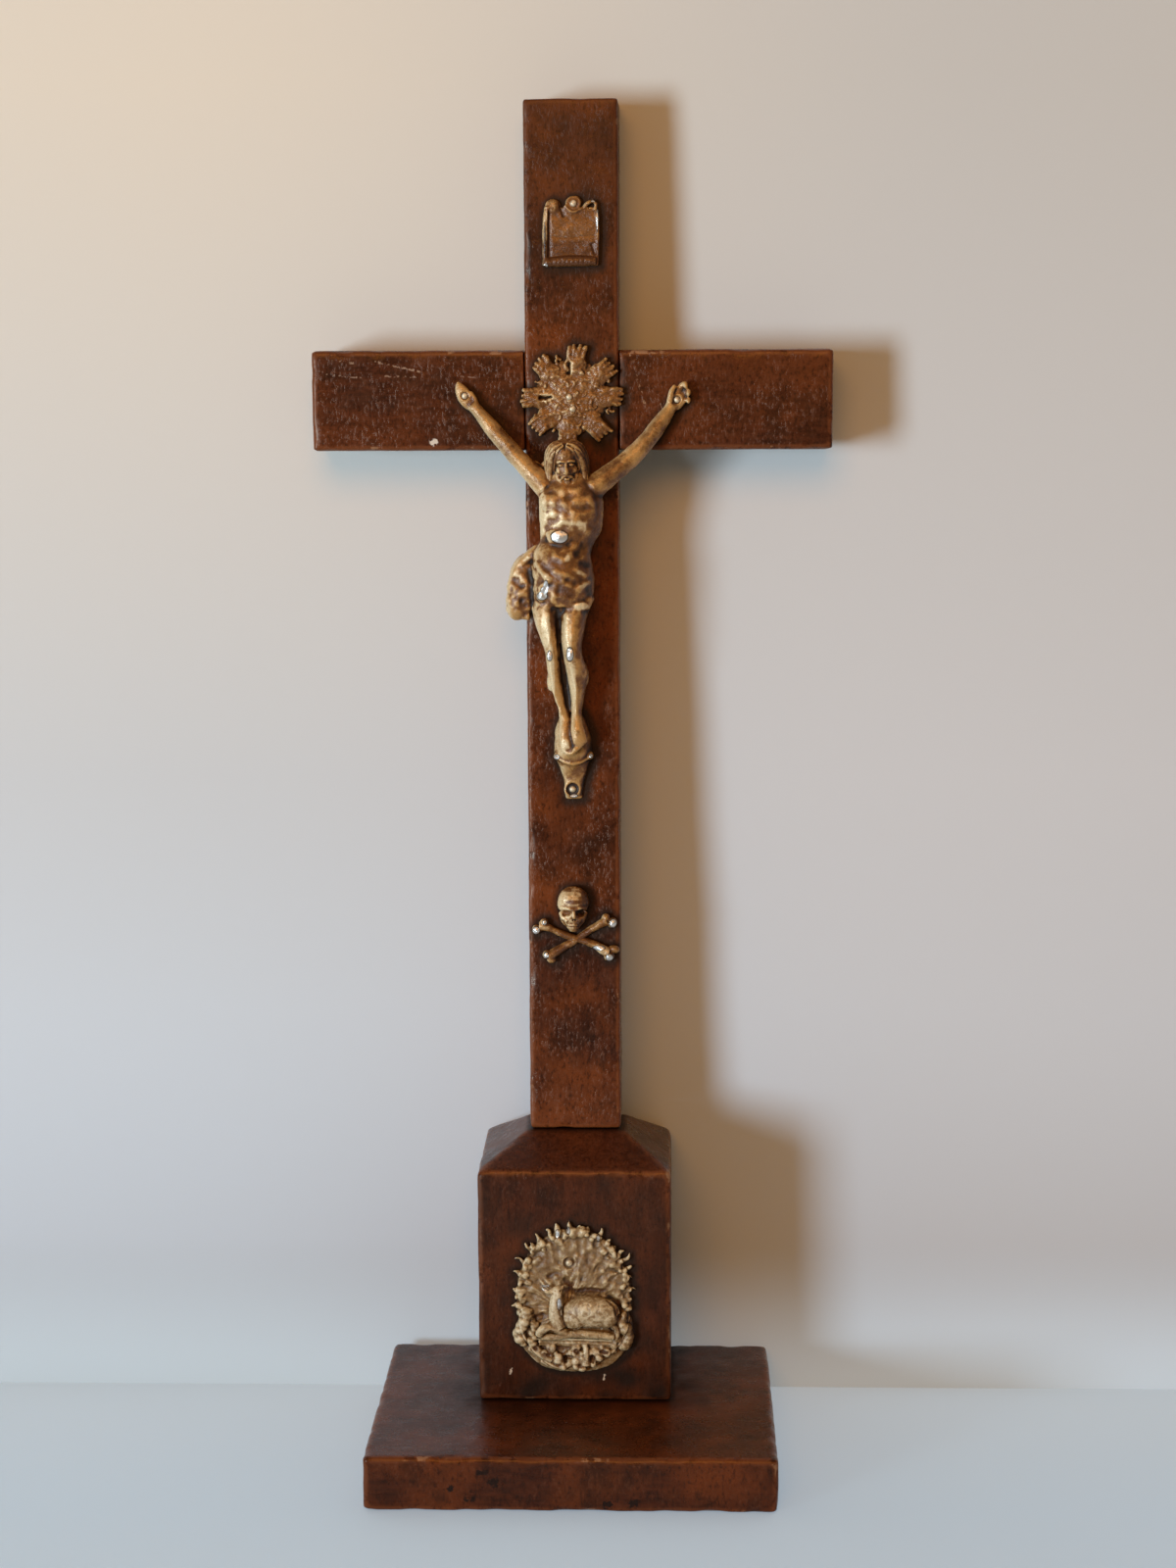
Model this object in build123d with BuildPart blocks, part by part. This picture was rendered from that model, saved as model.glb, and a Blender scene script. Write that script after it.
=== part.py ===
from build123d import *
import os
from math import cos, radians, sin

# A standing wooden crucifix with cast fittings pinned to its front, in millimetres.
# The origin lies under the middle of the foot, Z is up and the front looks along -Y.

# Foot and pedestal
base_width = 119.4
base_depth = 97.0
base_thickness = 16.4
base_arris = 1.5
block_width = 58.2
block_depth = 51.0
block_face_height = 71.0
block_hip_rise = 9.0
block_collar = 0.6
block_arris = 0.9

# Cross
total_height = 402.2
post_width = 27.8
post_thickness = 18.5
post_arris = 1.1
crossbar_length = 153.0
crossbar_height = 29.4
crossbar_drop = 86.5
crossbar_arris = 1.1
arris_stop = 2.5
lap_clearance = 0.05
tenon_width = 16.0
tenon_thickness = 9.0
tenon_length = 24.0
tenon_clearance = 0.1
tenon_end_gap = 1.0

# Screws that hold the pedestal on the foot
screw_spread = 32.0
screw_shank_diameter = 4.0
screw_head_diameter = 8.0
screw_length = 38.0
screw_point_length = 6.0
screw_recess = 0.6
screw_slot_width = 1.0
screw_slot_depth = 0.9
screw_clearance = 0.05

# Pins that hold the castings
pin_head_diameter = 1.9
pin_head_rise = 0.55
pin_shank_diameter = 1.1
pin_length = 12.0
pin_point_length = 1.5
pin_clearance = 0.04

# Scroll plaque above the figure
titulus_width = 16.4
titulus_height = 21.0
titulus_plate = 1.3
titulus_roll_radius = 2.5
titulus_side_roll_radius = 0.9
titulus_drop = 38.2
titulus_pin_rise = 8.2
titulus_pin_offset = 0.8
titulus_lobe_radius = 3.0
titulus_curl_radius = 1.9

# Rayed nimbus behind the head
nimbus_radius = 15.6
nimbus_disc_radius = 10.2
nimbus_plate = 1.3
nimbus_rise = 1.3
nimbus_spine = 0.6
nimbus_ray_count = 8
nimbus_turn = 4.0
nimbus_lift = 1.0
nimbus_pin_seat = 2.2
nimbus_pin_drops = (0.0, 3.5)
nimbus_pin_offsets = (-0.7, 0.3)

# Cast figure, measured from the top of its head to the end of the tab under its feet
figure_height = 106.0
head_drop = 12.3
hand_reach = 31.0
hand_offset = -0.2
hand_lift = 0.7
hand_lean = 0.7
hand_pin_seat = 2.3
foot_pin_rise = 3.4
foot_pin_offset = -0.3
foot_pin_seat = 1.1

# Skull and crossed bones
skull_height = 14.0
skull_width = 9.8
skull_depth = 5.6
skull_rise_share = 0.675
skull_offset = -0.3
bone_centre_drop = 9.3
bone_offset = 0.4
bone_radius = 1.25
bone_knob_radius = 1.6
bone_knob_spread = 1.7
bone_lengths = (23.2, 22.0)
bone_turns = (-21.5, 33.7)
peg_diameter = 2.0
peg_length = 5.0
peg_spread = 6.0
peg_clearance = 0.05

# Lamb medallion on the pedestal
medallion_width = 34.0
medallion_height = 44.6
medallion_rise_share = 0.449
medallion_offset = -0.2
medallion_plate = 1.5
medallion_relief = 6.5
medallion_dome = 0.9
medallion_spike_length = 3.0
medallion_spike_width = 2.3
medallion_spike_count = 17
medallion_spike_first = -12.0
medallion_spike_last = 196.0
medallion_pin_rise = 11.7
medallion_pin_offset = -1.3
medallion_pin_seat = 1.9

overrun = 2.0

# Places that follow from the sizes above
base_back_y = base_depth / 2
block_front_y = base_back_y - block_depth
block_centre_y = base_back_y - block_depth / 2
block_top_z = base_thickness + block_face_height
post_foot_z = block_top_z + block_hip_rise
post_front_y = block_centre_y - post_thickness / 2
crossbar_centre_z = total_height - crossbar_drop
titulus_centre_z = total_height - titulus_drop
medallion_centre_z = base_thickness + medallion_rise_share * block_face_height
lap_depth = post_thickness / 2
lap_bottom_z = crossbar_centre_z - crossbar_height / 2
lap_top_z = crossbar_centre_z + crossbar_height / 2
pin_head_radius = pin_head_diameter / 2
pin_shank_radius = pin_shank_diameter / 2
pin_bore_radius = pin_shank_radius + pin_clearance
screw_shank_radius = screw_shank_diameter / 2
screw_head_radius = screw_head_diameter / 2
figure_foot_z = crossbar_centre_z - head_drop - figure_height
skull_centre_z = post_foot_z + skull_rise_share * (figure_foot_z - post_foot_z)
nimbus_z = crossbar_centre_z + nimbus_lift
hand_points = [
    (hand_offset - hand_reach, crossbar_centre_z + hand_lift + hand_lean),
    (hand_offset + hand_reach, crossbar_centre_z + hand_lift - hand_lean),
]
titulus_pin = (titulus_pin_offset, titulus_centre_z + titulus_pin_rise)
nimbus_pins = [
    (offset, nimbus_z - drop) for offset, drop in zip(nimbus_pin_offsets, nimbus_pin_drops)
]
foot_pin = (foot_pin_offset, figure_foot_z + foot_pin_rise)
medallion_pin = (medallion_offset + medallion_pin_offset, medallion_centre_z + medallion_pin_rise)
bone_centre = (bone_offset, skull_centre_z - bone_centre_drop)
peg_points = [
    (skull_offset, skull_centre_z + side * peg_spread / 2) for side in (-1, 1)
]
screw_points = [(side * screw_spread / 2, block_centre_y) for side in (-1, 1)]

# Stations of the figure, in shares of its height: across, forward, up, half width, half depth
torso_shares = [
    (-0.013, 0.072, 0.915, 0.030, 0.027),
    (-0.009, 0.058, 0.877, 0.080, 0.042),
    (-0.011, 0.062, 0.825, 0.088, 0.057),
    (-0.012, 0.064, 0.769, 0.082, 0.058),
    (-0.025, 0.053, 0.703, 0.064, 0.047),
    (-0.034, 0.055, 0.632, 0.080, 0.056),
    (-0.034, 0.051, 0.557, 0.084, 0.055),
    (-0.032, 0.047, 0.505, 0.066, 0.042),
]
leg_shares = [
    [
        (-0.075, 0.057, 0.547, 0.043, 0.045),
        (-0.070, 0.068, 0.481, 0.038, 0.042),
        (-0.056, 0.075, 0.415, 0.027, 0.034),
        (-0.047, 0.057, 0.349, 0.028, 0.032),
        (-0.034, 0.045, 0.283, 0.020, 0.023),
        (-0.023, 0.043, 0.236, 0.014, 0.018),
        (-0.017, 0.051, 0.179, 0.021, 0.018),
        (-0.013, 0.051, 0.137, 0.023, 0.012),
    ],
    [
        (0.006, 0.061, 0.547, 0.043, 0.049),
        (-0.002, 0.075, 0.481, 0.035, 0.045),
        (-0.002, 0.091, 0.415, 0.030, 0.036),
        (0.011, 0.072, 0.349, 0.031, 0.034),
        (0.013, 0.058, 0.283, 0.021, 0.025),
        (0.009, 0.057, 0.236, 0.015, 0.019),
        (0.008, 0.068, 0.184, 0.023, 0.019),
        (0.011, 0.066, 0.138, 0.024, 0.012),
    ],
]
bracket_shares = [
    (-0.005, 0, 0.226, 0.032, 0.021),
    (-0.005, 0, 0.170, 0.051, 0.043),
    (-0.005, 0, 0.123, 0.055, 0.062),
    (-0.004, 0, 0.085, 0.042, 0.032),
    (-0.004, 0, 0.038, 0.031, 0.017),
    (-0.004, 0, 0, 0.025, 0.012),
]
drape_shares = [
    (-0.108, 0.042, 0.684, 0.015, 0.019),
    (-0.132, 0.038, 0.637, 0.040, 0.030),
    (-0.149, 0.036, 0.575, 0.042, 0.032),
    (-0.143, 0.034, 0.528, 0.036, 0.028),
    (-0.130, 0.032, 0.500, 0.017, 0.017),
]
hair_shares = [
    (-0.015, 0.066, 0.989, 0.025, 0.025),
    (-0.013, 0.062, 0.953, 0.051, 0.047),
    (-0.011, 0.057, 0.906, 0.057, 0.043),
    (-0.009, 0.053, 0.863, 0.053, 0.036),
]
beard_shares = [
    (-0.018, 0.108, 0.915, 0.024, 0.020),
    (-0.018, 0.113, 0.892, 0.020, 0.016),
    (-0.018, 0.108, 0.866, 0.008, 0.008),
]
nose_shares = [
    (-0.018, 0.123, 0.952, 0.004, 0.006),
    (-0.018, 0.128, 0.927, 0.009, 0.009),
]
head_centre_shares = (-0.018, 0.088, 0.938)
head_half_share = 0.061
head_width_share = 0.042
head_nod = 14.0

# The sash across the hips, in shares of the figure's height: across, forward, up, radius
sash_shares = [
    (-0.112, 0.060, 0.590, 0.013),
    (-0.070, 0.104, 0.585, 0.017),
    (-0.010, 0.108, 0.615, 0.014),
    (0.044, 0.076, 0.655, 0.012),
]

# An arm from the shoulder to the pin in the palm: share of that length, then sag, half width
# and half depth in shares of the figure's height
shoulder_shares = (0.082, 0.056, 0.886)
palm_forward_share = 0.014
arm_shares = [
    (-0.06, 0.008, 0.031, 0.031),
    (0.11, 0.009, 0.028, 0.028),
    (0.30, 0.010, 0.025, 0.025),
    (0.50, 0.010, 0.021, 0.022),
    (0.70, 0.004, 0.022, 0.021),
    (0.90, 0, 0.014, 0.014),
]
hand_shares = [
    (0.84, 0, 0.015, 0.015),
    (0.94, 0, 0.019, 0.014),
    (1.04, 0, 0.022, 0.012),
    (1.14, 0, 0.017, 0.010),
    (1.22, 0, 0.009, 0.007),
]

# One ray of the nimbus, in shares of its radius: outwards, sideways
ray_shares = [
    (0.45, -0.20), (0.72, -0.13), (0.88, -0.22), (0.94, -0.19), (0.89, -0.09),
    (1.00, 0), (0.89, 0.09), (0.94, 0.19), (0.88, 0.22), (0.72, 0.13), (0.45, 0.20),
]
spine_shares = [(0.42, -0.07), (0.92, -0.03), (0.92, 0.03), (0.42, 0.07)]

# The skull below the brow, in shares of its height, width and depth: up, half width, half depth
jaw_shares = [(0.02, 0.46, 0.82), (-0.24, 0.38, 0.88), (-0.55, 0.20, 0.66)]
cranium_shares = (0.14, 0.36)
socket_shares = (0.22, -0.03, 0.15)
nostril_shares = (-0.17, 0.10, 0.13)

# The lamb, in shares of the medallion's width, relief and height: across, forward, up,
# half height and half depth
lamb_body_shares = [
    (-0.14, 0.42, -0.11, 0.070, 0.20),
    (-0.06, 0.44, -0.09, 0.115, 0.36),
    (0.14, 0.44, -0.07, 0.128, 0.50),
    (0.32, 0.40, -0.09, 0.105, 0.44),
    (0.41, 0.36, -0.12, 0.050, 0.20),
]
# Neck and head, up and down: across, forward, up, half width, half depth
lamb_neck_shares = [
    (-0.10, 0.50, -0.12, 0.075, 0.36),
    (-0.12, 0.58, -0.01, 0.062, 0.36),
    (-0.14, 0.64, 0.08, 0.055, 0.34),
    (-0.15, 0.66, 0.13, 0.036, 0.20),
]
lamb_muzzle_shares = [
    (-0.12, 0.68, 0.095, 0.034, 0.26),
    (-0.19, 0.66, 0.085, 0.030, 0.24),
    (-0.26, 0.62, 0.075, 0.018, 0.14),
]
lamb_leg_shares = [
    (-0.05, 0.44, -0.19, 0.030, 0.30),
    (-0.18, 0.44, -0.195, 0.034, 0.30),
    (-0.28, 0.40, -0.215, 0.022, 0.20),
]
cloud_shares = [(-0.44, -0.17, 0.10), (-0.40, -0.24, 0.12), (0.45, -0.15, 0.10), (0.42, -0.23, 0.13)]
book_shares = (0.06, -0.262, 0.70, 0.055, 0.70)
seal_shares = [(-0.26, -0.345), (-0.10, -0.372), (0.06, -0.378), (0.22, -0.360), (0.36, -0.320)]
seal_radius_share = 0.062
seal_height_share = 0.50


def face_plane(face_y, x, z, forward=0):
    """A plane that looks out of the front, with x to the right and y up."""
    return Plane(origin=(x, face_y - forward, z), x_dir=(1, 0, 0), z_dir=(0, -1, 0))


def level_oval(x, y, z, half_width, half_depth):
    """An oval that lies level, with its seam at the back."""
    with BuildSketch(Plane((x, y, z))) as section:
        Ellipse(half_depth, half_width, rotation=90)
    return section.sketch


def figure_point(across, forward, up):
    """A point of the figure, from shares of its height."""
    return Vector(
        across * figure_height,
        post_front_y - forward * figure_height,
        figure_foot_z + up * figure_height,
    )


def figure_ovals(shares):
    """The level sections of one part of the figure."""
    unit = figure_height
    return [
        level_oval(*figure_point(x, forward, up), wide * unit, deep * unit)
        for x, forward, up, wide, deep in shares
    ]


def square_sections(points, half_sizes):
    """Sections square to a line of points, each with its half width and half depth."""
    sections = []
    for index, point in enumerate(points):
        before = points[max(index - 1, 0)]
        after = points[min(index + 1, len(points) - 1)]
        half_width, half_depth = half_sizes[index]
        with BuildSketch(Plane(origin=point, x_dir=(0, 1, 0), z_dir=after - before)) as section:
            Ellipse(half_depth, half_width)
        sections.append(section.sketch)
    return sections


def arm_sections(side, hand, shares):
    """Sections along one arm, from its shoulder towards the pin in its palm."""
    unit = figure_height
    across, forward, up = shoulder_shares
    middle = head_centre_shares[0] / 2
    shoulder = figure_point(middle + side * across, forward, up)
    palm = Vector(hand[0], post_front_y - palm_forward_share * unit, hand[1])
    reach = palm - shoulder
    points = [shoulder + reach * along - Vector(0, 0, sag * unit) for along, sag, _, _ in shares]
    return square_sections(points, [(wide * unit, deep * unit) for _, _, wide, deep in shares])


def nimbus_outline(shares):
    """The corners of one ray or spine of the nimbus."""
    return [(out * nimbus_radius, aside * nimbus_radius) for out, aside in shares]


def relief_point(across, forward, up):
    """A point of the medallion's relief, from shares of its width, relief and height."""
    return Vector(
        medallion_offset + across * medallion_width,
        block_front_y - forward * medallion_relief,
        medallion_centre_z + up * medallion_height,
    )


def crossbar_plane(x, side):
    """A section of the crossbar that looks left or right."""
    return Plane(origin=(x, block_centre_y, crossbar_centre_z), x_dir=(0, 1, 0), z_dir=(side, 0, 0))


def pin_at(x, seat_y, z):
    """A drawn pin with a domed head, driven in from the front."""
    with BuildPart() as pin:
        with BuildSketch(Plane((x, seat_y, z))):
            with BuildLine():
                Line((0, -pin_head_rise), (0, pin_length))
                Line((0, pin_length), (pin_shank_radius, pin_length - pin_point_length))
                Line((pin_shank_radius, pin_length - pin_point_length), (pin_shank_radius, 0))
                Line((pin_shank_radius, 0), (pin_head_radius, 0))
                EllipticalCenterArc((0, 0), pin_head_radius, pin_head_rise, start_angle=270, arc_size=90)
            make_face()
        revolve(axis=Axis((x, seat_y, z), (0, 1, 0)))
    return pin.part


def pin_spots(face_y, places):
    """Planes on a wooden face where pins go in."""
    return [face_plane(face_y, x, z) for x, z in places]


def pin_seats(face_y, places, seat):
    """Planes on a casting where the heads of its pins seat."""
    return [face_plane(face_y, x, z, seat) for x, z in places]


# Foot
with BuildPart() as base_plate:
    with BuildSketch():
        Rectangle(base_width, base_depth)
    extrude(amount=base_thickness)
    fillet(base_plate.edges().filter_by(Axis.Z), radius=base_arris)
    fillet(base_plate.faces().sort_by(Axis.Z)[-1].edges(), radius=base_arris)
    with Locations([Plane(origin=(x, y, 0), z_dir=(0, 0, -1)) for x, y in screw_points]):
        CounterSinkHole(
            radius=screw_shank_radius + screw_clearance,
            counter_sink_radius=screw_head_radius + screw_recess + screw_clearance,
            depth=base_thickness + overrun,
            counter_sink_angle=90,
        )

# Pedestal with a hipped top
with BuildPart() as pedestal_block:
    with BuildSketch(Plane((0, block_centre_y, base_thickness))):
        Rectangle(block_width, block_depth)
    extrude(amount=block_face_height)
    with BuildSketch(Plane((0, block_centre_y, block_top_z))):
        Rectangle(block_width, block_depth)
    with BuildSketch(Plane((0, block_centre_y, post_foot_z))):
        Rectangle(post_width + 2 * block_collar, post_thickness + 2 * block_collar)
    loft(ruled=True)
    fillet(pedestal_block.edges().filter_by(Axis.Z), radius=block_arris)
    with BuildSketch(Plane((0, block_centre_y, post_foot_z))):
        Rectangle(tenon_width + 2 * tenon_clearance, tenon_thickness + 2 * tenon_clearance)
    extrude(amount=-(tenon_length + tenon_end_gap), mode=Mode.SUBTRACT)
    with Locations([Plane(origin=(x, y, base_thickness), z_dir=(0, 0, -1)) for x, y in screw_points]):
        Hole(radius=screw_shank_radius + screw_clearance, depth=screw_length - base_thickness + overrun)
    with Locations(pin_spots(block_front_y, [medallion_pin])):
        Hole(radius=pin_bore_radius, depth=pin_length)

# Upright, rounded along its free stretches and square where the crossbar is let in
with BuildPart() as upright_post:
    with BuildSketch(Plane((0, block_centre_y, post_foot_z))):
        Rectangle(post_width, post_thickness)
    extrude(amount=lap_bottom_z - arris_stop - post_foot_z)
    fillet(upright_post.edges().filter_by(Axis.Z), radius=post_arris)
    with BuildSketch(Plane((0, block_centre_y, lap_top_z + arris_stop))):
        Rectangle(post_width, post_thickness)
    extrude(amount=total_height - lap_top_z - arris_stop)
    head_edges = upright_post.edges(Select.LAST).filter_by(Axis.Z)
    fillet(head_edges + upright_post.faces().sort_by(Axis.Z)[-1].edges(), radius=post_arris)
    with BuildSketch(Plane((0, block_centre_y, lap_bottom_z - arris_stop))):
        Rectangle(post_width, post_thickness)
    extrude(amount=crossbar_height + 2 * arris_stop)
    with BuildSketch(Plane((0, post_front_y + lap_depth, lap_bottom_z - lap_clearance))):
        Rectangle(post_width + overrun, lap_depth + overrun, align=(Align.CENTER, Align.MIN))
    extrude(amount=crossbar_height + 2 * lap_clearance, mode=Mode.SUBTRACT)
    with BuildSketch(Plane((0, block_centre_y, post_foot_z))):
        Rectangle(tenon_width, tenon_thickness)
    extrude(amount=-tenon_length)
    with Locations(pin_spots(post_front_y, [titulus_pin, foot_pin] + nimbus_pins)):
        Hole(radius=pin_bore_radius, depth=pin_length)
    with Locations(pin_spots(post_front_y, peg_points)):
        Hole(radius=peg_diameter / 2 + peg_clearance, depth=peg_length + overrun)

# Crossbar, notched at the front for the upright
with BuildPart() as crossbar:
    square_half = post_width / 2 + arris_stop
    for side in (-1, 1):
        with BuildSketch(crossbar_plane(side * square_half, side)):
            Rectangle(post_thickness, crossbar_height)
        extrude(amount=crossbar_length / 2 - square_half)
        end_edges = crossbar.faces(Select.LAST).sort_by(Axis((0, 0, 0), (side, 0, 0)))[-1].edges()
        fillet(crossbar.edges(Select.LAST).filter_by(Axis.X) + end_edges, radius=crossbar_arris)
    with BuildSketch(crossbar_plane(-square_half, 1)):
        Rectangle(post_thickness, crossbar_height)
    extrude(amount=2 * square_half)
    with BuildSketch(Plane((0, post_front_y + lap_depth, lap_bottom_z - overrun))):
        Rectangle(post_width + 2 * lap_clearance, lap_depth + overrun, align=(Align.CENTER, Align.MAX))
    extrude(amount=crossbar_height + 2 * overrun, mode=Mode.SUBTRACT)
    with Locations(pin_spots(post_front_y, hand_points + nimbus_pins)):
        Hole(radius=pin_bore_radius, depth=pin_length)

# Slotted wood screws, heads sunk into the foot
with BuildPart() as base_screws:
    for x, y in screw_points:
        with BuildSketch(Plane(origin=(x, y, screw_recess), x_dir=(1, 0, 0), z_dir=(0, -1, 0))):
            with BuildLine():
                Polyline(
                    (0, 0),
                    (screw_head_radius, 0),
                    (screw_shank_radius, screw_head_radius - screw_shank_radius),
                    (screw_shank_radius, screw_length - screw_recess - screw_point_length),
                    (0, screw_length - screw_recess),
                    close=True,
                )
            make_face()
        revolve(axis=Axis((x, y, 0), (0, 0, 1)))
        with BuildSketch(Plane((x, y, screw_recess))):
            Rectangle(screw_head_diameter + overrun, screw_slot_width)
        extrude(amount=screw_slot_depth, mode=Mode.SUBTRACT)

# Scroll plaque: a plate with a lobe round its pin, a rolled left side and a rolled foot
with BuildPart() as titulus_plaque:
    half_width = titulus_width / 2
    half_height = titulus_height / 2
    roll_z = titulus_centre_z - half_height + titulus_roll_radius
    curl_x = half_width - titulus_curl_radius
    curl_z = half_height - titulus_curl_radius
    with BuildSketch(face_plane(post_front_y, 0, titulus_centre_z)):
        with Locations((0, -titulus_curl_radius / 2)):
            Rectangle(titulus_width, titulus_height - titulus_curl_radius)
        with Locations((titulus_pin_offset, titulus_pin_rise)):
            Circle(titulus_lobe_radius)
        with Locations((-curl_x, curl_z), (curl_x, curl_z)):
            Circle(titulus_curl_radius)
    extrude(amount=titulus_plate)
    with BuildSketch(Plane(origin=(-half_width, post_front_y, roll_z), z_dir=(1, 0, 0))):
        Circle(titulus_roll_radius)
    extrude(amount=titulus_width)
    with BuildSketch(Plane((titulus_side_roll_radius - half_width, post_front_y - titulus_plate, roll_z))):
        Circle(titulus_side_roll_radius)
    extrude(amount=titulus_height - titulus_roll_radius - 2 * titulus_curl_radius)
    split(bisect_by=face_plane(post_front_y, 0, titulus_centre_z))
    with Locations(pin_seats(post_front_y, [titulus_pin], titulus_plate)):
        Hole(radius=pin_bore_radius, depth=titulus_plate + overrun)

# Nimbus: a domed disc with forked rays, each with a raised spine
with BuildPart() as nimbus:
    with BuildSketch(face_plane(post_front_y, 0, nimbus_z)):
        Circle(nimbus_disc_radius)
        with PolarLocations(0, nimbus_ray_count, start_angle=90 - nimbus_turn):
            Polygon(*nimbus_outline(ray_shares), align=None)
    extrude(amount=nimbus_plate)
    with BuildSketch(face_plane(post_front_y, 0, nimbus_z)):
        with PolarLocations(0, nimbus_ray_count, start_angle=90 - nimbus_turn):
            Polygon(*nimbus_outline(spine_shares), align=None)
    extrude(amount=nimbus_plate + nimbus_spine)
    with BuildSketch(face_plane(post_front_y, 0, nimbus_z, nimbus_plate)):
        Circle(nimbus_disc_radius)
    with BuildSketch(face_plane(post_front_y, 0, nimbus_z, nimbus_plate + nimbus_rise)):
        Circle(nimbus_disc_radius / 2)
    loft()
    with Locations(pin_seats(post_front_y, nimbus_pins, nimbus_pin_seat)):
        Hole(radius=pin_bore_radius, depth=nimbus_pin_seat + overrun)
    for x, z in nimbus_pins:
        with BuildSketch(face_plane(post_front_y, x, z, nimbus_pin_seat)):
            Circle(pin_head_radius + pin_clearance)
        extrude(amount=overrun, mode=Mode.SUBTRACT)

# Figure: one casting from the head to the tab, flat at the back where it meets the wood
with BuildPart() as corpus:
    unit = figure_height
    loft(figure_ovals(torso_shares))
    for shares in leg_shares:
        loft(figure_ovals(shares))
    for side, hand in zip((-1, 1), hand_points):
        loft(arm_sections(side, hand, arm_shares))
        loft(arm_sections(side, hand, hand_shares))
    loft(figure_ovals(bracket_shares))
    loft(figure_ovals(drape_shares))
    loft(figure_ovals(hair_shares))
    loft(figure_ovals(beard_shares))
    loft(figure_ovals(nose_shares))
    sash = [figure_point(x, forward, up) for x, forward, up, _ in sash_shares]
    loft(square_sections(sash, [(radius * unit, radius * unit) for _, _, _, radius in sash_shares]))
    head_centre = figure_point(*head_centre_shares)
    nod = radians(head_nod)
    head_axis = (0, sin(nod), cos(nod))
    with BuildSketch(Plane(origin=head_centre, x_dir=(1, 0, 0), z_dir=(0, -cos(nod), sin(nod)))):
        with BuildLine():
            EllipticalCenterArc(
                (0, 0), head_width_share * unit, head_half_share * unit, start_angle=-90, arc_size=180
            )
            Line((0, head_half_share * unit), (0, -head_half_share * unit))
        make_face()
    revolve(axis=Axis(head_centre, head_axis))
    split(bisect_by=face_plane(post_front_y, 0, figure_foot_z))
    for places, seat in ((hand_points, hand_pin_seat), ([foot_pin], foot_pin_seat)):
        with Locations(pin_seats(post_front_y, places, seat)):
            Hole(radius=pin_bore_radius, depth=seat + overrun)
        for x, z in places:
            with BuildSketch(face_plane(post_front_y, x, z, seat)):
                Circle(pin_head_radius + pin_clearance)
            extrude(amount=overrun, mode=Mode.SUBTRACT)

# Skull over two crossed thigh bones, with two cast pegs
with BuildPart() as skull_and_crossbones:
    cranium_up, cranium_half = cranium_shares
    cranium_centre = (skull_offset, post_front_y, skull_centre_z + cranium_up * skull_height)
    with BuildSketch(Plane(origin=cranium_centre, x_dir=(1, 0, 0), z_dir=(0, -1, 0))):
        with BuildLine():
            EllipticalCenterArc(
                (0, 0), skull_width / 2, cranium_half * skull_height, start_angle=-90, arc_size=180
            )
            Line((0, cranium_half * skull_height), (0, -cranium_half * skull_height))
        make_face()
    revolve(axis=Axis(cranium_centre, (0, 0, 1)))
    jaw_sections = []
    for up, wide, deep in jaw_shares:
        jaw_z = skull_centre_z + up * skull_height
        jaw_sections.append(
            level_oval(skull_offset, post_front_y, jaw_z, wide * skull_width, deep * skull_depth)
        )
    loft(jaw_sections)
    for length, turn in zip(bone_lengths, bone_turns):
        along = Vector(cos(radians(turn)), 0, sin(radians(turn)))
        across = Vector(-sin(radians(turn)), 0, cos(radians(turn)))
        middle = Vector(bone_centre[0], post_front_y, bone_centre[1])
        with BuildSketch(Plane(origin=middle - along * (length / 2), z_dir=along)):
            Circle(bone_radius)
        extrude(amount=length)
        for end in (-1, 1):
            for side in (-1, 1):
                knob = middle + along * (end * length / 2) + across * (side * bone_knob_spread / 2)
                with Locations(knob):
                    Sphere(bone_knob_radius)
    split(bisect_by=face_plane(post_front_y, 0, skull_centre_z))
    socket_out, socket_up, socket_radius = socket_shares
    nostril_up, nostril_half, nostril_height = nostril_shares
    with BuildSketch(face_plane(post_front_y, skull_offset, skull_centre_z, skull_depth / 2)):
        with Locations([(side * socket_out * skull_width, socket_up * skull_height) for side in (-1, 1)]):
            Circle(socket_radius * skull_width)
        with Locations((0, nostril_up * skull_height)):
            Triangle(a=2 * nostril_half * skull_width, c=nostril_height * skull_height, B=60)
    extrude(amount=skull_depth, mode=Mode.SUBTRACT)
    for x, z in peg_points:
        with BuildSketch(face_plane(post_front_y, x, z)):
            Circle(peg_diameter / 2)
        extrude(amount=-peg_length)

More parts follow.
